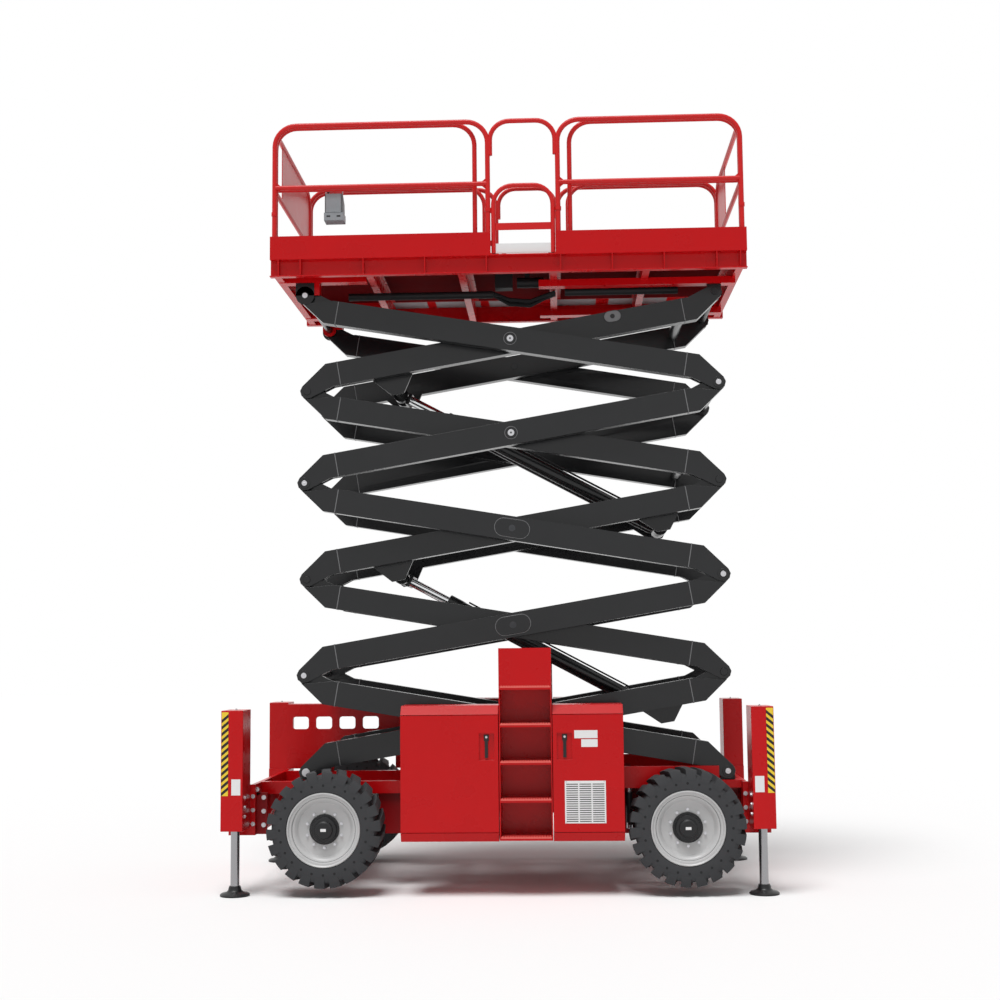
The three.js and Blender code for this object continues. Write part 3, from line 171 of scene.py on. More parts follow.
class Shape:
    """Collects simple solids, in metres, into one mesh."""

    def __init__(self):
        self.mesh = bmesh.new()

    def faces(self, rings):
        """Joins rings of equal length into a closed skin."""
        made = [[self.mesh.verts.new(p) for p in ring] for ring in rings]
        count = len(made[0])
        for first, second in zip(made, made[1:]):
            for i in range(count):
                j = (i + 1) % count
                self.mesh.faces.new((first[i], first[j], second[j], second[i]))
        self.mesh.faces.new(made[0][::-1])
        self.mesh.faces.new(made[-1])

    def box(self, low, high, matrix=None):
        """A box between two corners."""
        (x0, y0, z0), (x1, y1, z1) = map(min, low, high), map(max, low, high)
        rings = [[Vector(p) for p in ((x0, y0, z), (x1, y0, z), (x1, y1, z), (x0, y1, z))] for z in (z0, z1)]
        self.faces(moved(rings, matrix))

    def bar(self, start, end, radius, sides=24):
        """A round bar between two points."""
        start, end = Vector(start), Vector(end)
        turn = (end - start).to_track_quat("Z", "Y")
        spokes = [turn @ polar(radius, a) for a in around(sides)]
        self.faces([[place + spoke for spoke in spokes] for place in (start, end)])

    def tube(self, points, radius, sides=16):
        """A round tube along points, mitred at its bends and with no twist."""
        points = [Vector(p) for p in points]
        ahead = [(b - a).normalized() for a, b in zip(points, points[1:])]
        ways = [ahead[0]] + [(a + b).normalized() for a, b in zip(ahead, ahead[1:])] + [ahead[-1]]
        across = ways[0].orthogonal().normalized()
        rings = []
        for point, way, leaving in zip(points, ways, ahead + ahead[-1:]):
            across = (across - way * across.dot(way)).normalized()
            other = way.cross(across)
            stretch = 1 / max(MITRE_LIMIT, way.dot(leaving))
            mitre = leaving - way * way.dot(leaving)
            ring = []
            for a in around(sides):
                spoke = across * math.cos(a) + other * math.sin(a)
                if mitre.length > STRAIGHT:
                    along = mitre.normalized()
                    spoke += along * along.dot(spoke) * (stretch - 1)
                ring.append(point + spoke * radius)
            rings.append(ring)
        self.faces(rings)

    def turned(self, profile, matrix, sides=48):
        """A body turned about the matrix's Z axis from points of radius and height.

        The profile ends on the axis, or where it starts, which makes a ring.
        """
        verts = []
        for a in around(sides):
            verts.append([self.mesh.verts.new(matrix @ polar(r, a, h)) for r, h in profile])
        for first, second in zip(verts, verts[1:] + verts[:1]):
            for k in range(len(profile) - 1):
                self.mesh.faces.new((first[k], second[k], second[k + 1], first[k + 1]))

    def slab(self, outline, low, high, matrix=None):
        """An outline in X and Z made solid between two values of Y."""
        self.faces(moved([[Vector((x, y, z)) for x, z in outline] for y in (low, high)], matrix))

    def piece(self, name, finish, body, slot, stands_for=(), smooth=30.0, bevel=0.0):
        """Makes the collected solids one object that rides on a CAD body."""
        bmesh.ops.remove_doubles(self.mesh, verts=self.mesh.verts, dist=MERGE)
        bmesh.ops.recalc_face_normals(self.mesh, faces=self.mesh.faces)
        data = bpy.data.meshes.new(name)
        self.mesh.to_mesh(data)
        self.mesh.free()
        install(name, data, finish, body, stands_for, smooth, bevel)


def install(name, data, finish, body, stands_for, smooth, bevel):
    """Links a mesh as a shown piece, with its finish, its soft edges and its CAD body."""
    data.materials.clear()
    data.materials.append(finish)
    made = bpy.data.objects.new(name, data)
    bpy.context.scene.collection.objects.link(made)
    data.polygons.foreach_set("use_smooth", [True] * len(data.polygons))
    data.set_sharp_from_angle(angle=math.radians(smooth))
    if bevel:
        edge = made.modifiers.new("soft_edges", "BEVEL")
        edge.width = bevel
        edge.segments = BEVEL_CUTS
        edge.limit_method = "ANGLE"
        edge.angle_limit = math.radians(BEVEL_DEGREES)
        edge.harden_normals = True
    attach(made, body)
    if stands_for:
        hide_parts(*stands_for)


BODY_OF = {node: body for body, nodes in frame["record"]["behaviour"]["bodies"].items() for node in nodes}
JOINTS = {row["name"]: row for row in frame["joints"]}


def dress(node, finish, bevel=0.004):
    """Shows a CAD node's own shape with soft edges."""
    mesh = bmesh.new()
    mesh.from_mesh(frame["nodes"][node].data)
    bmesh.ops.remove_doubles(mesh, verts=mesh.verts, dist=CAD_MERGE)
    flat = math.radians(CAD_FLAT_DEGREES)
    bmesh.ops.dissolve_limit(mesh, angle_limit=flat, verts=mesh.verts, edges=mesh.edges)
    data = bpy.data.meshes.new(f"{node}_skin")
    mesh.to_mesh(data)
    mesh.free()
    install(f"{node}_skin", data, finish, BODY_OF[node], (node,), 30.0, bevel)


def joint(name):
    """A joint's place."""
    return Vector(JOINTS[name]["pos_m"])


def outer_face(low, high, side):
    """The Y of a box's face that looks away from the machine's middle."""
    return low.y if side < 0 else high.y


def hexagon(shape, centre, axis, radius, height):
    """A bolt head with a washer under it."""
    centre, axis = Vector(centre), Vector(axis).normalized()
    shape.bar(centre, centre + axis * height * WASHER_THICK, radius * WASHER_WIDTH, sides=16)
    shape.bar(centre, centre + axis * height, radius, sides=6)


# ---------------------------------------------------------------- wheels

LUGS = 22
SIDE_HOLES = 24
STUDS = 10
TREAD_ROOT = 0.905
SIDEWALL = 0.985
HOLE_CIRCLE = 0.76
STUD_CIRCLE = 0.142
DISC_DEPTH = 0.076
LUG_LEAN = 0.28
LUG_CUTS = 3
SHOULDER_SPREAD = 0.66
CROWN_SPREAD = SHOULDER_SPREAD * 0.74
TYRE_SIDES, RIM_SIDES, HUB_SIDES = 84, 72, 40
HOLE_RADIUS, HOLE_DEPTH = 0.0105, 0.0046
WHEEL_NUT = ((0.006, 0.0125, 14), (0.019, 0.0085, 6))


def wheel(axle, side_name):
    """Tyre, rim and hub of one wheel, in place of the plain CAD pair."""
    tag = f"{axle}_{side_name}"
    body = f"wheel_{tag}"
    low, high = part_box(f"tyre_{axle}_{side_name}")
    radius, half = (high.z - low.z) / 2, (high.y - low.y) / 2
    rim_low, rim_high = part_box(f"rim_{axle}_{side_name}")
    seat = (rim_high.z - rim_low.z) / 2
    turn = Matrix.Rotation(math.radians(-90 * SIDES[side_name]), 4, "X")
    out = Matrix.Translation((low + high) / 2) @ turn
    tyre(tag, body, out, radius, half, seat)
    rim(tag, body, out, half, seat)
    hub(tag, body, out, half)


def tyre(tag, body, out, radius, half, seat):
    """A tyre with tread blocks that reach down its shoulders, and a ring of small dark discs in each sidewall,
    painted shade standing for small holes.
    """
    made = Shape()
    root = radius * TREAD_ROOT
    profile = [
        (seat, -half * 0.93), (seat + 0.006, -half * 0.97), (seat + 0.03, -half * SIDEWALL),
        (root - 0.04, -half * SIDEWALL), (root - 0.012, -half * 0.95), (root, -half * 0.84),
    ]
    ring = profile + [(r, -h) for r, h in reversed(profile)]
    made.turned(ring + ring[:1], out, TYRE_SIDES)
    for i in range(LUGS):
        for face in (-1, 1):
            lug(made, out, (i + 0.25 * face) / LUGS, face, radius, root, half)
    made.piece(f"tyre_{tag}_treaded", RUBBER, body, "tyre_rubber", (f"tyre_{tag}",), smooth=35)

    # Dark discs just proud of each sidewall: painted shade of small holes.
    hole_shade = Shape()
    for a in around(SIDE_HOLES):
        spot = polar(radius * HOLE_CIRCLE, a)
        for face in (-1, 1):
            deep = spot + Z * face * (half * SIDEWALL - 0.004)
            hole_shade.bar(out @ deep, out @ (deep + Z * face * HOLE_DEPTH), HOLE_RADIUS, sides=14)
    hole_shade.piece(f"tyre_{tag}_holes", HOSE_AND_SHADE, body, "tyre_rubber")


def rim(tag, body, out, half, seat):
    """A dished rim with a rolled edge, and a dark band inside that edge, painted shade of a groove."""
    disc = half - DISC_DEPTH
    made = Shape()
    made.turned([
        (0.0, disc), (0.2, disc), (0.208, disc + 0.003), (0.232, disc + 0.036), (0.24, disc + 0.041),
        (0.252, half - 0.032), (0.256, half - 0.021), (0.262, half - 0.018), (0.273, half - 0.018),
        (0.277, half - 0.007), (0.283, half - 0.002), (0.289, half - 0.004), (seat * 0.999, half - 0.014),
        (seat * 0.999, -half + 0.01), (seat * 0.985, -half + 0.003), (seat * 0.955, -half + 0.003),
        (seat * 0.95, disc - 0.02), (0.05, disc - 0.02), (0.05, -0.12), (0.0, -0.12),
    ], out, RIM_SIDES)
    made.piece(f"rim_{tag}_pressed", RIM, body, "rim_paint", (f"rim_{tag}",), smooth=28)

    # A thin dark band on the slope inside the rolled edge: painted shade of the groove.
    groove_shade = Shape()
    groove_shade.turned([
        (0.246, disc + 0.0405), (0.2515, half - 0.0325), (0.2515, half - 0.0315), (0.246, disc + 0.0415),
        (0.246, disc + 0.0405),
    ], out, RIM_SIDES)
    groove_shade.piece(f"rim_{tag}_groove", CAST_STEEL_AND_SHADE, body, "rim_paint", smooth=28)


def hub(tag, body, out, half):
    """A stepped hub cap with a small blank plate, and a ring of wheel studs."""
    disc = half - DISC_DEPTH
    cap = Shape()
    cap.turned([
        (0.0, half - 0.005), (0.056, half - 0.005), (0.068, half - 0.012), (0.073, half - 0.028),
        (0.094, half - 0.032), (0.101, half - 0.042), (0.103, disc + 0.012), (0.119, disc + 0.01),
        (0.12, disc - 0.004), (0.0, disc - 0.004),
    ], out, HUB_SIDES)
    cap.piece(f"rim_{tag}_hub", BLACK, body, "black_paint", smooth=28)

    studs = Shape()
    for a in around(STUDS, 0.5):
        spot = polar(STUD_CIRCLE, a, disc)
        for reach, size, sides in WHEEL_NUT:
            studs.bar(out @ spot, out @ (spot + Z * reach), size, sides=sides)
    studs.piece(f"rim_{tag}_studs", STEEL, body, "cast_steel")

    plate = Shape()
    plate.box((-0.022, -0.011, half - 0.0052), (0.022, 0.011, half - 0.0038), out)
    plate.piece(f"rim_{tag}_plate", WHITE, body, "rim_paint")


def lug(shape, out, turn, face, radius, root, half):
    """One tread block, from the shoulder to just past the middle, leaning with the tyre's turn."""
    crown = radius - 0.0002
    rings = []
    for across, inner, outer, spread in (
        (0.99, root - 0.045, radius - 0.02, SHOULDER_SPREAD),
        (0.93, root - 0.03, radius - 0.004, SHOULDER_SPREAD),
        (0.5, root - 0.01, crown, CROWN_SPREAD),
        (-0.04, root - 0.01, crown, CROWN_SPREAD),
    ):
        middle = turn + LUG_LEAN * (1 - across) / LUGS * face
        cuts = [spread * (k / LUG_CUTS - 0.5) / LUGS for k in range(LUG_CUTS + 1)]
        arc = [2 * math.pi * (middle + cut) for cut in cuts]
        loop = [(inner, a) for a in arc] + [(outer, a) for a in reversed(arc)]
        rings.append([out @ polar(r, a, face * across * half) for r, a in loop])
    shape.faces(rings)


for axle_name in ("steer", "rear"):
    for side_name in SIDES:
        wheel(axle_name, side_name)


# ---------------------------------------------------------------- levelling jacks

STRIPE_WIDTH = 0.054
STRIPE_STEP = 0.052
STRIPE_RISE = 0.045
STRIPE_INSET = 0.005
STRIPE_DROP = 0.67
PLATE_INSETS = (0.086, 0.158)
BOLT_PITCH = 0.075


def jack(end_name, side_name):
    """One levelling jack: rod and pad, housing, warning stripes, blank plate, knob and bolts."""
    end, side = ENDS[end_name], SIDES[side_name]
    tag = f"{end_name}_{side_name}"
    low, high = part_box(f"jack_leg_{tag}")
    x, y = (low.x + high.x) / 2, (low.y + high.y) / 2
    foot = Matrix.Translation((x, y, 0))
    pad_radius = (high.x - low.x) / 2
    leg = Shape()
    leg.turned([(0.0, 0.05), (0.035, 0.05), (0.035, high.z), (0.0, high.z)], foot, 32)
    leg.piece(f"jack_rod_{tag}", LEG_STEEL, f"jack_{tag}", "chrome_rod", (f"jack_leg_{tag}",))
    pad = Shape()
    pad.turned([
        (0.0, 0.0), (pad_radius * 0.97, 0.0), (pad_radius, 0.004), (pad_radius, 0.012),
        (pad_radius * 0.9, 0.022), (0.07, 0.03), (0.053, 0.045), (0.05, 0.062), (0.044, 0.0775),
        (0.0, 0.0775),
    ], foot, 48)
    pad.piece(f"jack_pad_{tag}", BLACK, f"jack_{tag}", "black_paint", smooth=40)

    dress(f"jack_housing_{tag}", RED)
    box_low, box_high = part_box(f"jack_housing_{tag}")
    face = outer_face(box_low, box_high, side)
    outer = box_low.x if end < 0 else box_high.x
    top, bottom = box_high.z - 0.012, box_high.z - STRIPE_DROP
    warning_stripes(tag, outer, end, face, side, bottom, top)
    plate_x = sorted(outer - end * inset for inset in PLATE_INSETS)
    plate = Shape()
    plate.box((plate_x[0], face, bottom + 0.005), (plate_x[1], face + side * 0.0014, bottom + 0.13))
    plate.piece(f"jack_plate_{tag}", WHITE, "chassis", "red_paint")
    bolts = Shape()
    bolts.turned([
        (0.0, 0.0), (0.012, 0.0), (0.012, 0.004), (0.006, 0.005), (0.006, 0.012), (0.0, 0.012),
    ], Matrix.Translation((x, y, box_high.z)), 20)
    flank = box_low.x + box_high.x - outer
    for i in range(3):
        hexagon(bolts, (flank, y + side * 0.06, bottom - 0.02 - BOLT_PITCH * i), X * -end, 0.012, 0.01)
    bolts.piece(f"jack_bolts_{tag}", STEEL, "chassis", "cast_steel")


def warning_stripes(tag, outer, end, face, side, bottom, top):
    """A yellow band with slanting black bars along the outer edge of a jack housing."""
    edges = sorted((outer - end * STRIPE_INSET, outer - end * (STRIPE_INSET + STRIPE_WIDTH)))
    band = Shape()
    band.box((edges[0], face, bottom), (edges[1], face + side * 0.0012, top))
    band.piece(f"jack_stripe_base_{tag}", YELLOW, "chassis", "red_paint")
    bars = Shape()
    thick = STRIPE_STEP * 0.5
    z = bottom
    while z + STRIPE_RISE + thick < top:
        outline = [
            (edges[0], z), (edges[1], z + STRIPE_RISE), (edges[1], z + STRIPE_RISE + thick),
            (edges[0], z + thick),
        ]
        if end > 0:
            outline = [(edges[0] + edges[1] - px, pz) for px, pz in reversed(outline)]
        bars.slab(outline, face, face + side * 0.0018)
        z += STRIPE_STEP
    bars.piece(f"jack_stripe_bars_{tag}", BLACK, "chassis", "black_paint")


for end_name in ENDS:
    for side_name in SIDES:
        jack(end_name, side_name)


# ---------------------------------------------------------------- chassis and axles

dress("rear_axle", BLACK, 0.006)
dress("steer_axle", BLACK, 0.0)
for side_name in SIDES:
    dress(f"steer_knuckle_{side_name}", CAST_STEEL_AND_SHADE, 0.0)
dress("engine_block", CAST_STEEL_AND_SHADE, 0.012)
dress("chassis_frame", RED, 0.004)
dress("wheel_guard", RED, 0.003)

CHASSIS_LOW, CHASSIS_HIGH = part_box("chassis_frame")
END_FACE = 2.0
SIDE_BOLTS_X = 1.985
GUARD_SKIRTS = ((-2.007, -1.7), (-1.0, -0.752))
BRACKET_FACES = (0.746, 0.758)
BRACKET_BOLTS = ((-1.965, 0.815), (-1.91, 0.75), (-1.91, 0.64), (-1.91, 0.53))
STRUT = (1.062, -0.7)


def end_plate_bolts():
    """Bolts on the outrigger plates and the end beams' faces."""
    bolts = Shape()
    for end in ENDS.values():
        for side in SIDES.values():
            for i in range(3):
                spot = (end * SIDE_BOLTS_X, side * CHASSIS_HIGH.y, CHASSIS_LOW.z + 0.09 + 0.11 * i)
                hexagon(bolts, spot, Y * side, 0.013, 0.011)
            for y in (0.25, 0.55):
                for height in (0.08, 0.32):
                    spot = (end * END_FACE, side * y, CHASSIS_LOW.z + height)
                    hexagon(bolts, spot, X * end, 0.014, 0.012)
    bolts.piece("chassis_bolts", STEEL, "chassis", "cast_steel")


end_plate_bolts()


def chassis_plates():
    """Skirts under the wheel guard, plates behind the wheels, bolted outrigger brackets and one strut; the plates
    and brackets are darker red as painted shade.
    """
    skirts, plates, bolts, strut, ends = Shape(), Shape(), Shape(), Shape(), Shape()
    for x0, x1 in GUARD_SKIRTS:
        skirts.box((x0, 0.748, 0.865), (x1, 0.756, 1.0))
    skirts.piece("chassis_guard_skirts", RED, "chassis", "red_paint")
    back, front = BRACKET_FACES
    for side in SIDES.values():
        plates.box((-1.0, side * 0.53, 0.43), (-0.755, side * 0.538, 0.762))
        plates.box((1.01, side * 0.592, 0.43), (1.14, side * 0.6, 0.9))
        plates.box((-1.998, side * back, 0.456), (-1.88, side * front, 0.79))
        plates.bar((-1.965, side * back, 0.8), (-1.965, side * front, 0.8), 0.035)
        for x, z in BRACKET_BOLTS:
            hexagon(bolts, (x, side * front, z), Y * side, 0.014, 0.011)
    # The side plates and brackets are in the darker red of painted shade.
    plates.piece("chassis_side_plates", PLATE_SHADE_RED, "chassis", "red_paint", bevel=0.002)
    bolts.piece("chassis_plate_bolts", STEEL, "chassis", "cast_steel")
    x, y = STRUT
    strut.bar((x, y, 0.53), (x, y, 0.77), 0.028)
    for z in (0.505, 0.795):
        ends.bar((x, y, z - 0.028), (x, y, z + 0.028), 0.024)
    strut.box((1.035, y, 0.47), (1.09, -0.6, 0.49))
    strut.piece("chassis_strut", BLACK, "chassis", "black_paint", bevel=0.003)
    ends.piece("chassis_strut_ends", STEEL, "chassis", "cast_steel", bevel=0.008)


chassis_plates()


# ---------------------------------------------------------------- side boxes and ladders

PLATE_LIFT = 0.0015
DOOR_SHEET = 0.0014
LATCH_INSET = 0.092
LATCH_POCKET = (0.03, 0.15)
LATCH_HEIGHTS = (0.349, 0.139)
GRILLE_COLUMNS = 3
GRILLE_SLATS = 18
GRILLE_GAP = 0.012


def side_box(box_name, side_name):
    """A side box, and its door with a full-width sheet round a latch in its pocket."""
    side = SIDES[side_name]
    tag = f"{box_name}_{side_name}"
    dress(f"side_box_{tag}", RED, 0.005)
    dress(f"box_door_{tag}", RED, 0.003)
    low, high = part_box(f"box_door_{tag}")
    box_low, box_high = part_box(f"side_box_{tag}")
    face = outer_face(low, high, side)
    inward = 1 if box_name == "left" else -1
    free = high.x if box_name == "left" else low.x
    body = f"door_{tag}"
    x, top = free - inward * LATCH_INSET, high.z
    latch = Shape()
    latch.box((x - 0.0125, face - side * 0.0205, top - 0.332), (x + 0.0125, face - side * 0.001, top - 0.155))
    latch.box((x - 0.02, face - side * 0.0139, top - 0.2), (x + 0.02, face - side * 0.008, top - 0.15))
    latch.piece(f"door_latch_{tag}", BLACK, body, "black_paint", bevel=0.002)
    pocket = sorted(free - inward * inset for inset in LATCH_POCKET)
    left, right = box_low.x + 0.0005, box_high.x - 0.0005
    bottom, sheet_top = low.z - 0.002, top + 0.002
    sill, lintel = (top - height for height in LATCH_HEIGHTS)
    skin = Shape()
    for x0, x1, z0, z1 in (
        (left, pocket[0], bottom, sheet_top), (pocket[1], right, bottom, sheet_top),
        (pocket[0], pocket[1], bottom, sill), (pocket[0], pocket[1], lintel, sheet_top),
    ):
        skin.box((x0, face, z0), (x1, face + side * DOOR_SHEET, z1))
    skin.piece(f"door_sheet_{tag}", RED, body, "red_paint")
    bolt = Shape()
    bolt.bar((x, face - side * 0.01, top - 0.17), (x, face - side * 0.0002, top - 0.17), 0.009)
    bolt.piece(f"door_bolts_{tag}", STEEL, body, "cast_steel")


def louvre():
    """White vent grille with columns of slats on the engine's door, dark strips of painted shadow between the
    slats, and two blank plates above it.
    """
    low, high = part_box("box_door_right_near")
    face = low.y - DOOR_SHEET
    sheet = face - PLATE_LIFT
    body = "door_right_near"
    x0, x1, z0, z1 = low.x + 0.088, high.x - 0.145, low.z + 0.065, low.z + 0.393
    grille, dark, plates, rivets = Shape(), Shape(), Shape(), Shape()
    grille.box((x0, face, z0), (x1, sheet, z1))
    width = (x1 - x0 - GRILLE_GAP * (GRILLE_COLUMNS + 1)) / GRILLE_COLUMNS
    pitch = (z1 - z0 - 2 * GRILLE_GAP) / GRILLE_SLATS
    for column in range(GRILLE_COLUMNS):
        left = x0 + GRILLE_GAP + column * (width + GRILLE_GAP)
        right = left + width
        for slat in range(GRILLE_SLATS):
            z = z0 + GRILLE_GAP + slat * pitch
            # Dark strips under each slat: painted shadow between the slats.
            dark.box((left, face - 0.0014, z), (right, face - 0.0019, z + pitch * 0.42))
            grille.box((left, sheet, z + pitch * 0.4), (right, face - 0.0045, z + pitch * 0.86))
    grille.piece("door_grille", WHITE, body, "rim_paint")
    dark.piece("door_grille_slot_shade", HOSE_AND_SHADE, body, "black_paint")
    top, end = low.z + 0.785, x0 + 0.262
    plates.box((x0 + 0.08, face, top - 0.062), (end, sheet, top))
    plates.box((x0 + 0.134, face, top - 0.13), (end, sheet, top - 0.07))
    plates.piece("door_plates", WHITE, body, "rim_paint")
    for x in (x0 + 0.012, x1 - 0.012):
        for z in (z0 + 0.006, z1 - 0.006):
            rivets.bar((x, sheet, z), (x, face - 0.004, z), 0.004, sides=12)
    rivets.piece("door_grille_rivets", STEEL, body, "cast_steel")


for box_name in ENDS:
    for side_name in SIDES:
        side_box(box_name, side_name)
louvre()


STEPS = 5
STEP_PITCH = 0.293
FIRST_STEP = 0.028
TEETH = 19
TEETH_INSET = 0.022
TOOTH = 0.012


def ladder(side_name):
    """A ladder, with a lip and two rows of teeth on its steps, their lighter red a painted highlight."""
    side = SIDES[side_name]
    node = f"ladder_{side_name}"
    dress(node, RED, 0.003)
    low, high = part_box(node)
    face = outer_face(low, high, side)
    left, right = low.x + 0.01, high.x - 0.01
    edges = Shape()
    for step in range(STEPS):
        z = low.z + FIRST_STEP + step * STEP_PITCH
        edges.box((left, face - side * 0.0005, z - 0.012), (right, face + side * 0.0012, z - 0.001))
        for i in range(TEETH):
            x = low.x + TEETH_INSET + (high.x - low.x - 2 * TEETH_INSET) * i / (TEETH - 1)
            a, b = x - TOOTH / 2, x + TOOTH / 2
            edges.box((a, face + side * 0.001, z - 0.003), (b, face - side * 0.012, z + 0.005))
            if step < STEPS - 1:
                edges.box((a, face - side * 0.06, z - 0.002), (b, face - side * 0.075, z + 0.004))
    edges.piece(f"ladder_treads_{side_name}", STEP_HIGHLIGHT_RED, "chassis", "red_paint")


for side_name in SIDES:
    ladder(side_name)


# ---------------------------------------------------------------- scissor arms

LEFT_PIN, RIGHT_PIN = joint("lift"), joint("fold_right_1")
RISE = RIGHT_PIN.z - LEFT_PIN.z
STACK = 0.215
FACES = {"outer": (0.7, 0.6), "inner": (0.58, 0.48)}
SEAM_INSET = 0.29
BEAD = 0.0035
OVAL_LEVELS = (2, 3)
OVAL, ROUND = (0.07, 0.074), (0.0, 0.05)
TOP_BOSS = (0.024, 0.046)
TOP_BOSS_ALONG = 0.75
TOP_BOSS_HEIGHT = 0.162
BOSS_THICK = 0.006
SEAM_THICK = 0.0022
SEAM_WIDTH = 0.005


def pin(end_name, level):
    """Place of the pins at one end of the scissor, counted from the bottom."""
    x = LEFT_PIN.x if end_name == "left" else RIGHT_PIN.x
    return Vector((x, 0, LEFT_PIN.z + level * RISE))


def arm_matrix(kind, level):
    """An arm's own frame, with X along the beam from its lower pin and Z square to it, and its length."""
    from_left = (level % 2 == 1) == (kind == "inner")
    low = pin("left" if from_left else "right", level - 1)
    high = pin("right" if from_left else "left", level)
    line = high - low
    stow = math.asin(STACK / line.length)
    angle = math.atan2(line.z, abs(line.x)) - stow
    along = Vector((math.copysign(math.cos(angle), line.x), 0, math.sin(angle)))
    square = Vector((-math.copysign(math.sin(angle), line.x), 0, math.cos(angle)))
    return placed(low, along, square), math.sqrt(line.length**2 - STACK**2)


def arm_welds(kind, level):
    """Beads where the end plates meet the beams, round the section and up both faces, in a light grey that is
    painted highlight.
    """
    matrix, length = arm_matrix(kind, level)
    outer, inner = FACES[kind]
    beads = Shape()
    for side in SIDES.values():
        for u in (SEAM_INSET, length - SEAM_INSET):
            for face, way in ((outer, 1), (inner, -1)):
                low = (u - BEAD, side * face, 0.012)
                beads.box(low, (u + BEAD, side * (face + way * 0.002), STACK - 0.012), matrix)
            for w in (0.0075, STACK - 0.0075):
                beads.box((u - BEAD, side * inner, w - 0.002), (u + BEAD, side * outer, w + 0.002), matrix)
    beads.piece(f"{kind}_arms_{level}_welds", HIGHLIGHT_GREY, f"{kind}_{level}", "arm_paint")


def boss(plates, seams, centre, size, side, face, matrix):
    """A round-ended plate on an arm's face, and the seam round it."""
    reach, radius = size
    face *= side
    plates.slab(stadium(centre, reach, radius), face, face + side * BOSS_THICK, matrix)
    seams.slab(stadium(centre, reach, radius + SEAM_WIDTH), face, face + side * SEAM_THICK, matrix)


def outer_arm_bosses(level):
    """Plates and pin heads on the outer arms' outside, at their crossing and their ends."""
    matrix, length = arm_matrix("outer", level)
    outer = FACES["outer"][0]
    body, name = f"outer_{level}", f"outer_arms_{level}"
    heads, plates, seams, dark = Shape(), Shape(), Shape(), Shape()
    centre = Vector((length / 2, 0, STACK / 2))
    ends = [(0.0, 0.0)] if level < LEVELS else [(0.0, 0.0), (length, STACK)]
    oval = level in OVAL_LEVELS
    middle = dark if oval else heads
    for side in SIDES.values():
        out = Y * side
        boss(plates, seams, centre, OVAL if oval else ROUND, side, outer, matrix)
        spot = centre + out * (outer + 0.0065)
        middle.bar(matrix @ (spot - out * 0.004), matrix @ (spot + out * 0.002), 0.028, sides=28)
        dark.bar(matrix @ (spot + out * 0.001), matrix @ (spot + out * 0.003), 0.009, sides=6)
        for u, w in ends:
            ring = Vector((u, side * (outer + 0.0005), w))
            head = ring + out * 0.005
            if u == 0:
                plates.bar(matrix @ ring, matrix @ head, 0.046, sides=32)
            heads.bar(matrix @ head, matrix @ (head + out * 0.0065), 0.023, sides=28)
            heads.bar(matrix @ head, matrix @ (head + out * 0.0075), 0.008, sides=6)
    plates.piece(f"{name}_bosses", ARM, body, "arm_paint", bevel=0.002)
    # The seam rings round the bosses are in the light grey of painted highlight.
    seams.piece(f"{name}_boss_seams", HIGHLIGHT_GREY, body, "arm_paint")
    dark.piece(f"{name}_boss_pins", CAST_STEEL_AND_SHADE, body, "cast_steel")
    heads.piece(f"{name}_pin_heads", STEEL, body, "cast_steel", bevel=0.0015)


def stadium(centre, half_length, radius, steps=14):
    """Outline of a round-ended plate lying along the arm."""
    points = []
    for end, start in ((1, 0), (-1, math.pi)):
        middle = centre.x + end * half_length
        for i in range(steps + 1):
            a = math.pi * (i / steps - 0.5) + start
            points.append((middle + radius * math.cos(a), centre.z + radius * math.sin(a)))
    return points


for level in range(1, LEVELS + 1):
    for kind in ("inner", "outer"):
        dress(f"{kind}_arms_{level}", ARM, 0.007)
        arm_welds(kind, level)
    outer_arm_bosses(level)


def top_arm_bosses():
    """Small oval plates on the outside of the highest inner arms, a quarter of the arm from the deck."""
    matrix, length = arm_matrix("inner", LEVELS)
    body, name = f"inner_{LEVELS}", f"inner_arms_{LEVELS}"
    outer = FACES["inner"][0]
    centre = Vector((TOP_BOSS_ALONG * length, 0, TOP_BOSS_HEIGHT))
    plates, seams, dark = Shape(), Shape(), Shape()
    for side in SIDES.values():
        boss(plates, seams, centre, TOP_BOSS, side, outer, matrix)
        spot = centre + Y * side * (outer + 0.0025)
        dark.bar(matrix @ spot, matrix @ (spot + Y * side * 0.006), 0.02, sides=28)
    # These plates take the light grey used for painted highlight.
    plates.piece(f"{name}_bosses", HIGHLIGHT_GREY, body, "arm_paint", bevel=0.002)
    seams.piece(f"{name}_boss_seams", BLACK, body, "arm_paint")
    dark.piece(f"{name}_boss_pins", BLACK, body, "cast_steel")


top_arm_bosses()
for node in ("lower_slide_pads", "upper_slide_pads"):
    dress(node, BLACK, 0.003)


def base_pin_heads():
    """Silver heads on the chassis pins that carry the lowest inner arms."""
    heads = Shape()
    for side in SIDES.values():
        for y, way in ((0.594, 1), (0.464, -1)):
            face = Vector((LEFT_PIN.x, side * y, LEFT_PIN.z))
            heads.bar(face - Y * side * way * 0.004, face + Y * side * way * 0.003, 0.034, sides=32)
    heads.piece("chassis_pin_heads", STEEL, "chassis", "cast_steel", bevel=0.0015)


base_pin_heads()


# ---------------------------------------------------------------- lift cylinders

BARREL_LENGTH, BARREL_RADIUS = 2.086, 0.0635
ROD_HEAD, ROD_RADIUS = 2.4735, 0.038
CYLINDER_OFFSET = 0.115


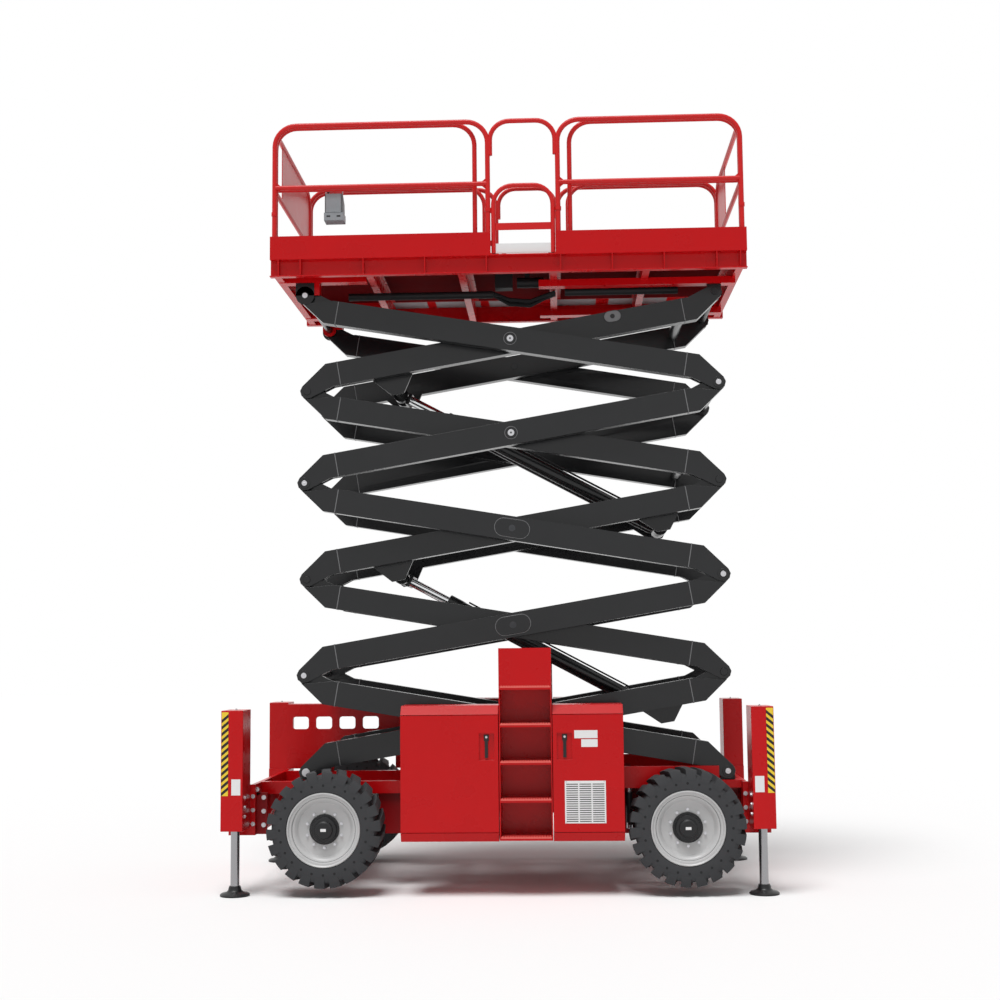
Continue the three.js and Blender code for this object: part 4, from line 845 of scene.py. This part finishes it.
def cylinder(name):
    """Barrels, chromed rods, a valve block and pipes of one pair of lift cylinders."""
    pivot = joint(f"{name}_cylinder_pivot")
    along = Vector(JOINTS[f"{name}_cylinder_stroke"]["axis"]).normalized()
    square = Vector((along.z, 0, -along.x))
    if square.z < 0:
        square = -square
    body, rod_body, tag = f"{name}_barrels", f"{name}_rods", f"{name}_cylinder"
    barrels, valve, pipes, rods, plate = Shape(), Shape(), Shape(), Shape(), Shape()
    aim = along.to_track_quat("Z", "Y").to_matrix().to_4x4()
    for side in SIDES.values():
        base = pivot + Y * side * CYLINDER_OFFSET
        barrels.turned([
            (0.0, 0.05), (0.052, 0.05), (0.06, 0.07), (0.06, 1.96), (BARREL_RADIUS, 1.965),
            (BARREL_RADIUS, BARREL_LENGTH - 0.006), (BARREL_RADIUS - 0.006, BARREL_LENGTH),
            (ROD_RADIUS + 0.001, BARREL_LENGTH), (ROD_RADIUS + 0.001, 0.12), (0.0, 0.12),
        ], Matrix.Translation(base) @ aim, 40)
        rods.bar(base + along * 0.47, base + along * (ROD_HEAD - 0.02), ROD_RADIUS, sides=36)
        for shift in (-0.014, 0.014):
            start = base + square * (BARREL_RADIUS + 0.012) + along * 0.2 + Y * shift
            pipes.tube([start, start + along * 0.9, start + along * 1.72], 0.007, 8)
    sleeve = [(0.036, -0.174), (0.062, -0.174), (0.062, 0.174), (0.036, 0.174), (0.036, -0.174)]
    barrels.turned(sleeve, Matrix.Translation(pivot) @ Matrix.Rotation(math.radians(90), 4, "X"), 36)
    for share in (0.5, 0.985):
        clamp = placed(pivot + along * (BARREL_LENGTH * share - 0.03), along, square)
        barrels.box((-0.028, -CYLINDER_OFFSET, -0.045), (0.028, CYLINDER_OFFSET, 0.045), clamp)
    barrels.piece(f"{tag}_barrels_smooth", ARM, body, "black_paint", (f"{tag}_barrels",))
    valve.box((-0.05, -0.06, 0.0), (0.05, 0.06, 0.075), placed(pivot + along * 0.24, along, square))
    valve.piece(f"{tag}_valve", CAST_STEEL_AND_SHADE, body, "cast_steel", bevel=0.003)
    pipes.piece(f"{tag}_pipes", HOSE_AND_SHADE, body, "black_paint")
    rods.piece(f"{tag}_rods_smooth", CHROME, rod_body, "chrome_rod", (f"{tag}_rods",))
    reach = CYLINDER_OFFSET + 0.05
    end = placed(pivot + along * ROD_HEAD, along, square)
    plate.box((-0.028, -reach, -0.05), (-0.0002, reach, 0.05), end)
    plate.piece(f"{tag}_rod_plate", ARM, rod_body, "black_paint", bevel=0.004)


cylinder("lower")
cylinder("upper")


# ---------------------------------------------------------------- platform

PIVOT_TOP = joint("platform_pivot").z
DECK_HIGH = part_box("platform_deck")[1]
FLOOR_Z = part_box("guard_rail_near")[0].z
FLOOR_THICK = 0.0103
TUBE, THIN_TUBE, SLIM_TUBE = 0.021, 0.02, 0.019
TUBE_SIDES = 16
BEND, GATE_BEND = 0.18, 0.162
GATE_GAP = (-0.032, 0.552)
MID_RAIL = FLOOR_Z + 0.61
HOOP_LEG = 0.293
FOOT_PLATE = 0.012
GATE_INSET = 0.045
GATE_HINGES = (0.51, 0.23)
GATE_PLATE = (0.4, 0.34)
KICK_HEIGHT = 0.083


def hoop_points(start, end, top, bend, steps=8):
    """Points up one leg, round two bends and down the other leg."""
    start, end = Vector(start), Vector(end)
    along = Vector((end.x - start.x, end.y - start.y, 0)).normalized()
    points = [start]
    for base, way in ((start, 1), (end, -1)):
        centre = Vector((base.x, base.y, top - bend)) + along * bend * way
        arc = []
        for i in range(steps + 1):
            a = math.pi / 2 * i / steps
            arc.append(centre - along * way * bend * math.cos(a) + Z * bend * math.sin(a))
        points += arc if way > 0 else arc[::-1]
    points.append(end)
    return points


def guard_rail(side_name):
    """Main rail of one side: two hoops with collars, and the high hoop over the gate."""
    node = f"guard_rail_{side_name}"
    low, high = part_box(node)
    y = (low.y + high.y) / 2
    top = high.z - TUBE
    rails = Shape()
    for start, end in ((low.x + TUBE, GATE_GAP[0]), (GATE_GAP[1], high.x - TUBE)):
        rails.tube(hoop_points((start, y, FLOOR_Z), (end, y, FLOOR_Z), top, BEND), TUBE)
        rails.bar((start, y, MID_RAIL), (end, y, MID_RAIL), THIN_TUBE, TUBE_SIDES)
        for x, way in ((start, 1), (end, -1)):
            rails.box((x - 0.034, y - 0.024, FLOOR_Z), (x + 0.034, y + 0.024, FLOOR_Z + FOOT_PLATE))
            rails.bar((x, y, FLOOR_Z + 0.37), (x, y, FLOOR_Z + 0.4), 0.0265, TUBE_SIDES)
            web = [(x, MID_RAIL - 0.06), (x + way * 0.07, MID_RAIL), (x, MID_RAIL + 0.06)]
            rails.slab(web if way > 0 else web[::-1], y - 0.004, y + 0.004)
    leg = top - HOOP_LEG
    first, last = GATE_GAP[0] + TUBE, GATE_GAP[1] - TUBE
    rails.tube(hoop_points((first, y, leg), (last, y, leg), top, GATE_BEND), THIN_TUBE)
    for x in (GATE_GAP[0] + TUBE / 2, GATE_GAP[1] - TUBE / 2):
        for z in (leg + 0.02, leg + 0.11):
            rails.box((x - 0.03, y - 0.012, z - 0.015), (x + 0.03, y + 0.012, z + 0.015))
    # The tubes are in the lighter red of painted light.
    rails.piece(f"{node}_tubes", RAIL_LIT_RED, "platform", "red_paint", (node,), smooth=35)


def gate(side_name):
    """Swinging gate: a hoop with a cross plate, two hinge knuckles and a white kick plate."""
    side = SIDES[side_name]
    node = f"gate_{side_name}"
    low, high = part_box(node)
    y = (low.y + high.y) / 2
    left, right = GATE_GAP[0] + GATE_INSET, GATE_GAP[1] - GATE_INSET
    foot = FLOOR_Z + FOOT_PLATE
    swing = Shape()
    swing.tube(hoop_points((left, y, foot), (right, y, foot), MID_RAIL - 0.02, GATE_BEND), SLIM_TUBE)
    bottom, top = (MID_RAIL - drop for drop in GATE_PLATE)
    swing.box((left, y - 0.003, bottom), (right, y + 0.003, top))
    for drop in GATE_HINGES:
        z = MID_RAIL - drop
        swing.box((low.x, y - 0.008, z - 0.022), (left, y + 0.008, z + 0.022))
    # The gate's tubes are in the lighter red of painted light.
    swing.piece(f"{node}_tubes", RAIL_LIT_RED, node, "red_paint", (node,), smooth=35)
    kick = Shape()
    kick.box((left + 0.012, y - 0.004, foot), (right - 0.012, y + 0.004, foot + KICK_HEIGHT))
    kick.box((left + 0.03, y + side * 0.004, foot + 0.008), (right - 0.03, y + side * 0.0045, foot + 0.075))
    kick.piece(f"{node}_kick_plate", WHITE, node, "rim_paint")


END_PANELS = {"left": (-0.55, 0.78), "right": (0.2, 0.78)}
FLOOR_PLATE = 0.008
STUD_ROWS, STUD_PITCH = 15, 0.11


def extension(end_name):
    """A sliding end of the platform: its rails, end sheet and panel, and its chequered floor."""
    end = ENDS[end_name]
    node = f"extension_{end_name}"
    low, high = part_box(node)
    outer, inner = (low.x, high.x) if end < 0 else (high.x, low.x)
    y = high.y - TUBE
    deck, top = low.z + FLOOR_PLATE, high.z - THIN_TUBE
    a, b = outer - end * 0.03, inner + end * 0.03
    rails = Shape()
    for side in SIDES.values():
        rails.tube(hoop_points((a, side * y, deck), (b, side * y, deck), top, BEND), THIN_TUBE)
        rails.bar((a, side * y, MID_RAIL), (b, side * y, MID_RAIL), SLIM_TUBE, TUBE_SIDES)
    cross, brow = MID_RAIL - 0.02, top - 0.044
    rails.tube(hoop_points((a, -y, deck), (a, y, deck), brow, BEND), TUBE)
    rails.bar((a, -y, cross), (a, y, cross), THIN_TUBE, TUBE_SIDES)
    rails.box((outer, -high.y, low.z), (outer - end * 0.006, high.y, DECK_HIGH.z))
    first, last = END_PANELS[end_name]
    rails.box((a - 0.003, first, cross), (a + 0.003, last, brow))
    # The extension's tubes and sheets are in the lighter red of painted light.
    rails.piece(f"{node}_tubes", RAIL_LIT_RED, node, "red_paint", (node,), smooth=35)
    plate = Shape()
    plate.box((outer, low.y, low.z), (inner, high.y, deck))
    plate.piece(f"{node}_floor", DECK, node, "red_paint")
    studs = Shape()
    for i in range(int(abs(outer - inner) / STUD_PITCH)):
        x = min(outer, inner) + STUD_PITCH * (i + 0.5)
        for j in range(STUD_ROWS):
            v = low.y + 0.05 + (high.y - low.y - 0.1) * (j + 0.5) / STUD_ROWS
            slant = Matrix.Rotation(math.radians(45 if (i + j) % 2 else -45), 4, "Z")
            turn = Matrix.Translation((x, v, deck)) @ slant
            studs.box((-0.018, -0.004, 0), (0.018, 0.004, 0.0012), turn)
    studs.piece(f"{node}_chequer", DECK, node, "red_paint")


BAYS = ((-1.7, -1.07), (-0.97, -0.29), (-0.19, 0.47), (0.57, 1.23), (1.33, 1.95))
RIBS = (-1.783, -1.599, -1.073, -0.56, -0.048, 0.567, 0.994, 1.421, 1.853, 2.047)
PALE_SHEETS = ((-1.1, -0.68), (-0.6, -0.18), (-0.1, 0.28), (0.5, 0.9), (1.02, 1.56))
LONG_TUBES = ((-1.262, -0.014, 4.975), (0.602, 1.568, 4.985))
HOSES = ((-0.3, 0.02), (-0.25, 0.05), (-0.2, 0.01))
COVER = 0.078


def deck_details():
    """Ribs along the side channels, floor panels, dark sheets of painted shade, tubes, hoses and a valve block
    under the deck.
    """
    web, edge = DECK_HIGH.y - 0.046, DECK_HIGH.y - 0.002
    top = FLOOR_Z - FLOOR_THICK
    ribs, panels, under, covers, shade = Shape(), Shape(), Shape(), Shape(), Shape()
    outline = [
        (web - 0.001, top), (edge, top), (edge, top - 0.03), (edge - 0.01, top - 0.135),
        (web - 0.001, top - 0.135),
    ]
    for side in SIDES.values():
        for x in RIBS:
            ribs.faces([[Vector((x + t, side * py, pz)) for py, pz in outline] for t in (-0.005, 0.005)])
        at = Vector((LEFT_PIN.x, side * 0.7005, PIVOT_TOP))
        covers.bar(at, at + Y * side * 0.0035, COVER, 32)
        covers.box(at - X * COVER, at + Vector((COVER, side * 0.0035, 0.108)))
    panels.box((-0.1, -0.78, FLOOR_Z - 0.0002), (0.61, 0.78, FLOOR_Z + 0.0018))
    # Dark sheets between the cross beams: painted shade under the deck.
    for x0, x1 in BAYS:
        shade.box((x0, -0.6, top + 0.0001), (x1, 0.6, top - 0.002))
    for x0, x1 in PALE_SHEETS:
        for y0, y1 in ((-0.85, -0.62), (0.62, 0.85)):
            panels.box((x0, y0, top + 0.0001), (x1, y1, top - 0.002))
    for x0, x1, z in LONG_TUBES:
        under.bar((x0, -0.42, z), (x1, -0.42, z), 0.032, 20)
    for y, drop in HOSES:
        sag = [(-0.05, y, 5.03), (0.12, y, 4.98 - drop), (0.3, y + 0.03, 4.97 - drop), (0.52, y, 5.02)]
        under.tube(sag, 0.016, 10)
    under.box((0.0, -0.36, 5.05), (0.15, -0.24, top))
    under.bar((0.19, -0.32, 5.1), (0.42, -0.32, 5.1), 0.045, 20)
    under.box((0.26, -0.34, 5.12), (0.3, -0.3, top))
    ribs.piece("platform_ribs", RED, "platform", "red_paint")
    panels.piece("platform_floor_panels", DECK, "platform", "red_paint")
    under.piece("platform_under_tubes", HOSE_AND_SHADE, "platform", "black_paint", smooth=35)
    shade.piece("platform_under_shade_sheets", SHADE_RED, "platform", "red_paint")
    covers.piece("platform_pivot_covers", BLACK, "platform", "black_paint")


dress("platform_deck", RED, 0.003)
for side_name in SIDES:
    guard_rail(side_name)
    gate(side_name)
for end_name in ENDS:
    extension(end_name)
deck_details()


CONSOLE_SPAN = (0.25, 0.97)


def control_box():
    """Grey control box: a tray with a tilted console on it, a joystick, buttons and a bent wire guard."""
    body, node = "extension_left", "control_box"
    low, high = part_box(node)
    depth, width = high.y - low.y, high.x - low.x
    tray, console, marks, stick, guard = Shape(), Shape(), Shape(), Shape(), Shape()
    rest = low.z + 0.07
    tray.box(low + Vector((width * 0.22, 0.004, 0)), (high.x, high.y, rest))
    tray.box((low.x + width * 0.3, low.y, rest), (low.x + width * 0.9, low.y + 0.02, high.z - 0.02))
    tray.piece("control_tray", GREY, body, "box_plastic", (node,), bevel=0.004)
    a, b = CONSOLE_SPAN
    back, brow = depth - 0.004, depth - 0.02
    ring = [(a, 0.008, 0.072), (b, 0.008, 0.072), (b, back, 0.078), (a, back, 0.078)]
    lid = [(a, 0.012, 0.232), (b, 0.012, 0.232), (b, brow, 0.165), (a, brow, 0.165)]
    console.faces([[low + Vector((width * u, v, w)) for u, v, w in row] for row in (ring, lid)])
    console.piece("control_console", CONSOLE, body, "box_plastic", bevel=0.004)
    for u in (0.4, 0.8):
        slot = low + Vector((width * u, 0.004, 0.037))
        marks.box(slot - Vector((0.016, 0.0005, 0.007)), slot + Vector((0.016, 0.0005, 0.007)))
    for u in (0.5, 0.66, 0.82):
        spot = low + Vector((width * u, depth * 0.55, 0.19))
        marks.bar(spot, spot + Vector((0, 0.006, 0.022)), 0.009, 20)
    marks.piece("control_buttons", BLACK, body, "box_plastic")
    foot = Matrix.Translation((low.x + width * 0.36, low.y + depth * 0.45, low.z + 0.195))
    stick.turned([
        (0.0, 0.0), (0.02, 0.0), (0.018, 0.014), (0.008, 0.02), (0.008, 0.058), (0.013, 0.064),
        (0.015, 0.084), (0.01, 0.096), (0.0, 0.098),
    ], foot, 24)
    stick.piece("control_joystick", BLACK, body, "box_plastic")
    first, last = (Vector((low.x + width * u, low.y + 0.03, low.z + 0.2)) for u in (0.28, 0.94))
    guard.tube(hoop_points(first, last, high.z + 0.06, 0.02, 5), 0.005, 10)
    guard.piece("control_guard", STEEL, body, "box_plastic", smooth=40)


control_box()


# ---------------------------------------------------------------- studio

SKY_LIGHT = 0.3
SUN_LIGHT = 2.55
SUN_WAY = (0.12, 0.34, -0.93)
SUN_SPREAD_DEGREES = 30
FLOOR_WHITE = 0.95
FLOOR_REACH = 60
FLOOR_DROP = 0.001
EYE = (0.4971, -12.5366, 1.8883)
EYE_DEGREES = (-2.2277, 5.4524, -0.5683)
SENSOR_WIDTH = 36
FOCAL_LENGTH = 51.7
SHIFT_UP = 0.01766


def studio():
    """White surroundings that only cameras and mirrors see at full strength, a soft sun and a pale floor."""
    scene = bpy.context.scene
    scene.view_settings.view_transform = "Standard"
    world = bpy.data.worlds.new("studio")
    scene.world = world
    world.use_nodes = True
    nodes, links = world.node_tree.nodes, world.node_tree.links
    sky = nodes["Background"]
    sky.inputs["Color"].default_value = (1, 1, 1, 1)
    path = nodes.new("ShaderNodeLightPath")
    seen = path.outputs["Is Camera Ray"]
    for name in ("Is Glossy Ray", "Is Transmission Ray"):
        either = nodes.new("ShaderNodeMath")
        either.operation = "MAXIMUM"
        links.new(seen, either.inputs[0])
        links.new(path.outputs[name], either.inputs[1])
        seen = either.outputs[0]
    level = nodes.new("ShaderNodeMapRange")
    level.inputs["To Min"].default_value = SKY_LIGHT
    level.inputs["To Max"].default_value = 1.0
    links.new(seen, level.inputs["Value"])
    links.new(level.outputs["Result"], sky.inputs["Strength"])
    white = bpy.data.materials.new("studio_white")
    white.use_nodes = True
    paint = white.node_tree.nodes["Principled BSDF"]
    paint.inputs["Base Color"].default_value = (FLOOR_WHITE, FLOOR_WHITE, FLOOR_WHITE, 1)
    paint.inputs["Roughness"].default_value = 1.0
    paint.inputs["Specular IOR Level"].default_value = 0.0
    data = bpy.data.meshes.new("floor")
    corners = [(x * FLOOR_REACH, y * FLOOR_REACH, 0) for x, y in ((-1, -1), (1, -1), (1, 1), (-1, 1))]
    data.from_pydata(corners, [], [(0, 1, 2, 3)])
    data.materials.append(white)
    floor = bpy.data.objects.new("floor", data)
    scene.collection.objects.link(floor)
    floor.location.z = -FLOOR_DROP
    lamp = bpy.data.lights.new("sun", "SUN")
    lamp.angle = math.radians(SUN_SPREAD_DEGREES)
    lamp.energy = SUN_LIGHT
    sun = bpy.data.objects.new("sun", lamp)
    scene.collection.objects.link(sun)
    sun.rotation_euler = Vector(SUN_WAY).to_track_quat("-Z", "Y").to_euler()


def camera():
    """The camera stands near the ground in front of the machine and looks slightly up at it."""
    yaw, pitch, roll = (math.radians(a) for a in EYE_DEGREES)
    ahead = Vector((math.sin(yaw) * math.cos(pitch), math.cos(yaw) * math.cos(pitch), math.sin(pitch)))
    level = Vector((math.cos(yaw), -math.sin(yaw), 0))
    up = level.cross(ahead)
    right = math.cos(roll) * level + math.sin(roll) * up
    crown = -math.sin(roll) * level + math.cos(roll) * up
    lens = bpy.data.cameras.new("camera")
    lens.sensor_width = SENSOR_WIDTH
    lens.lens = FOCAL_LENGTH
    lens.shift_y = SHIFT_UP
    made = bpy.data.objects.new("camera", lens)
    bpy.context.scene.collection.objects.link(made)
    turn = Matrix((right, crown, -ahead)).transposed()
    made.matrix_world = Matrix.Translation(EYE) @ turn.to_4x4()
    bpy.context.scene.camera = made


studio()
camera()
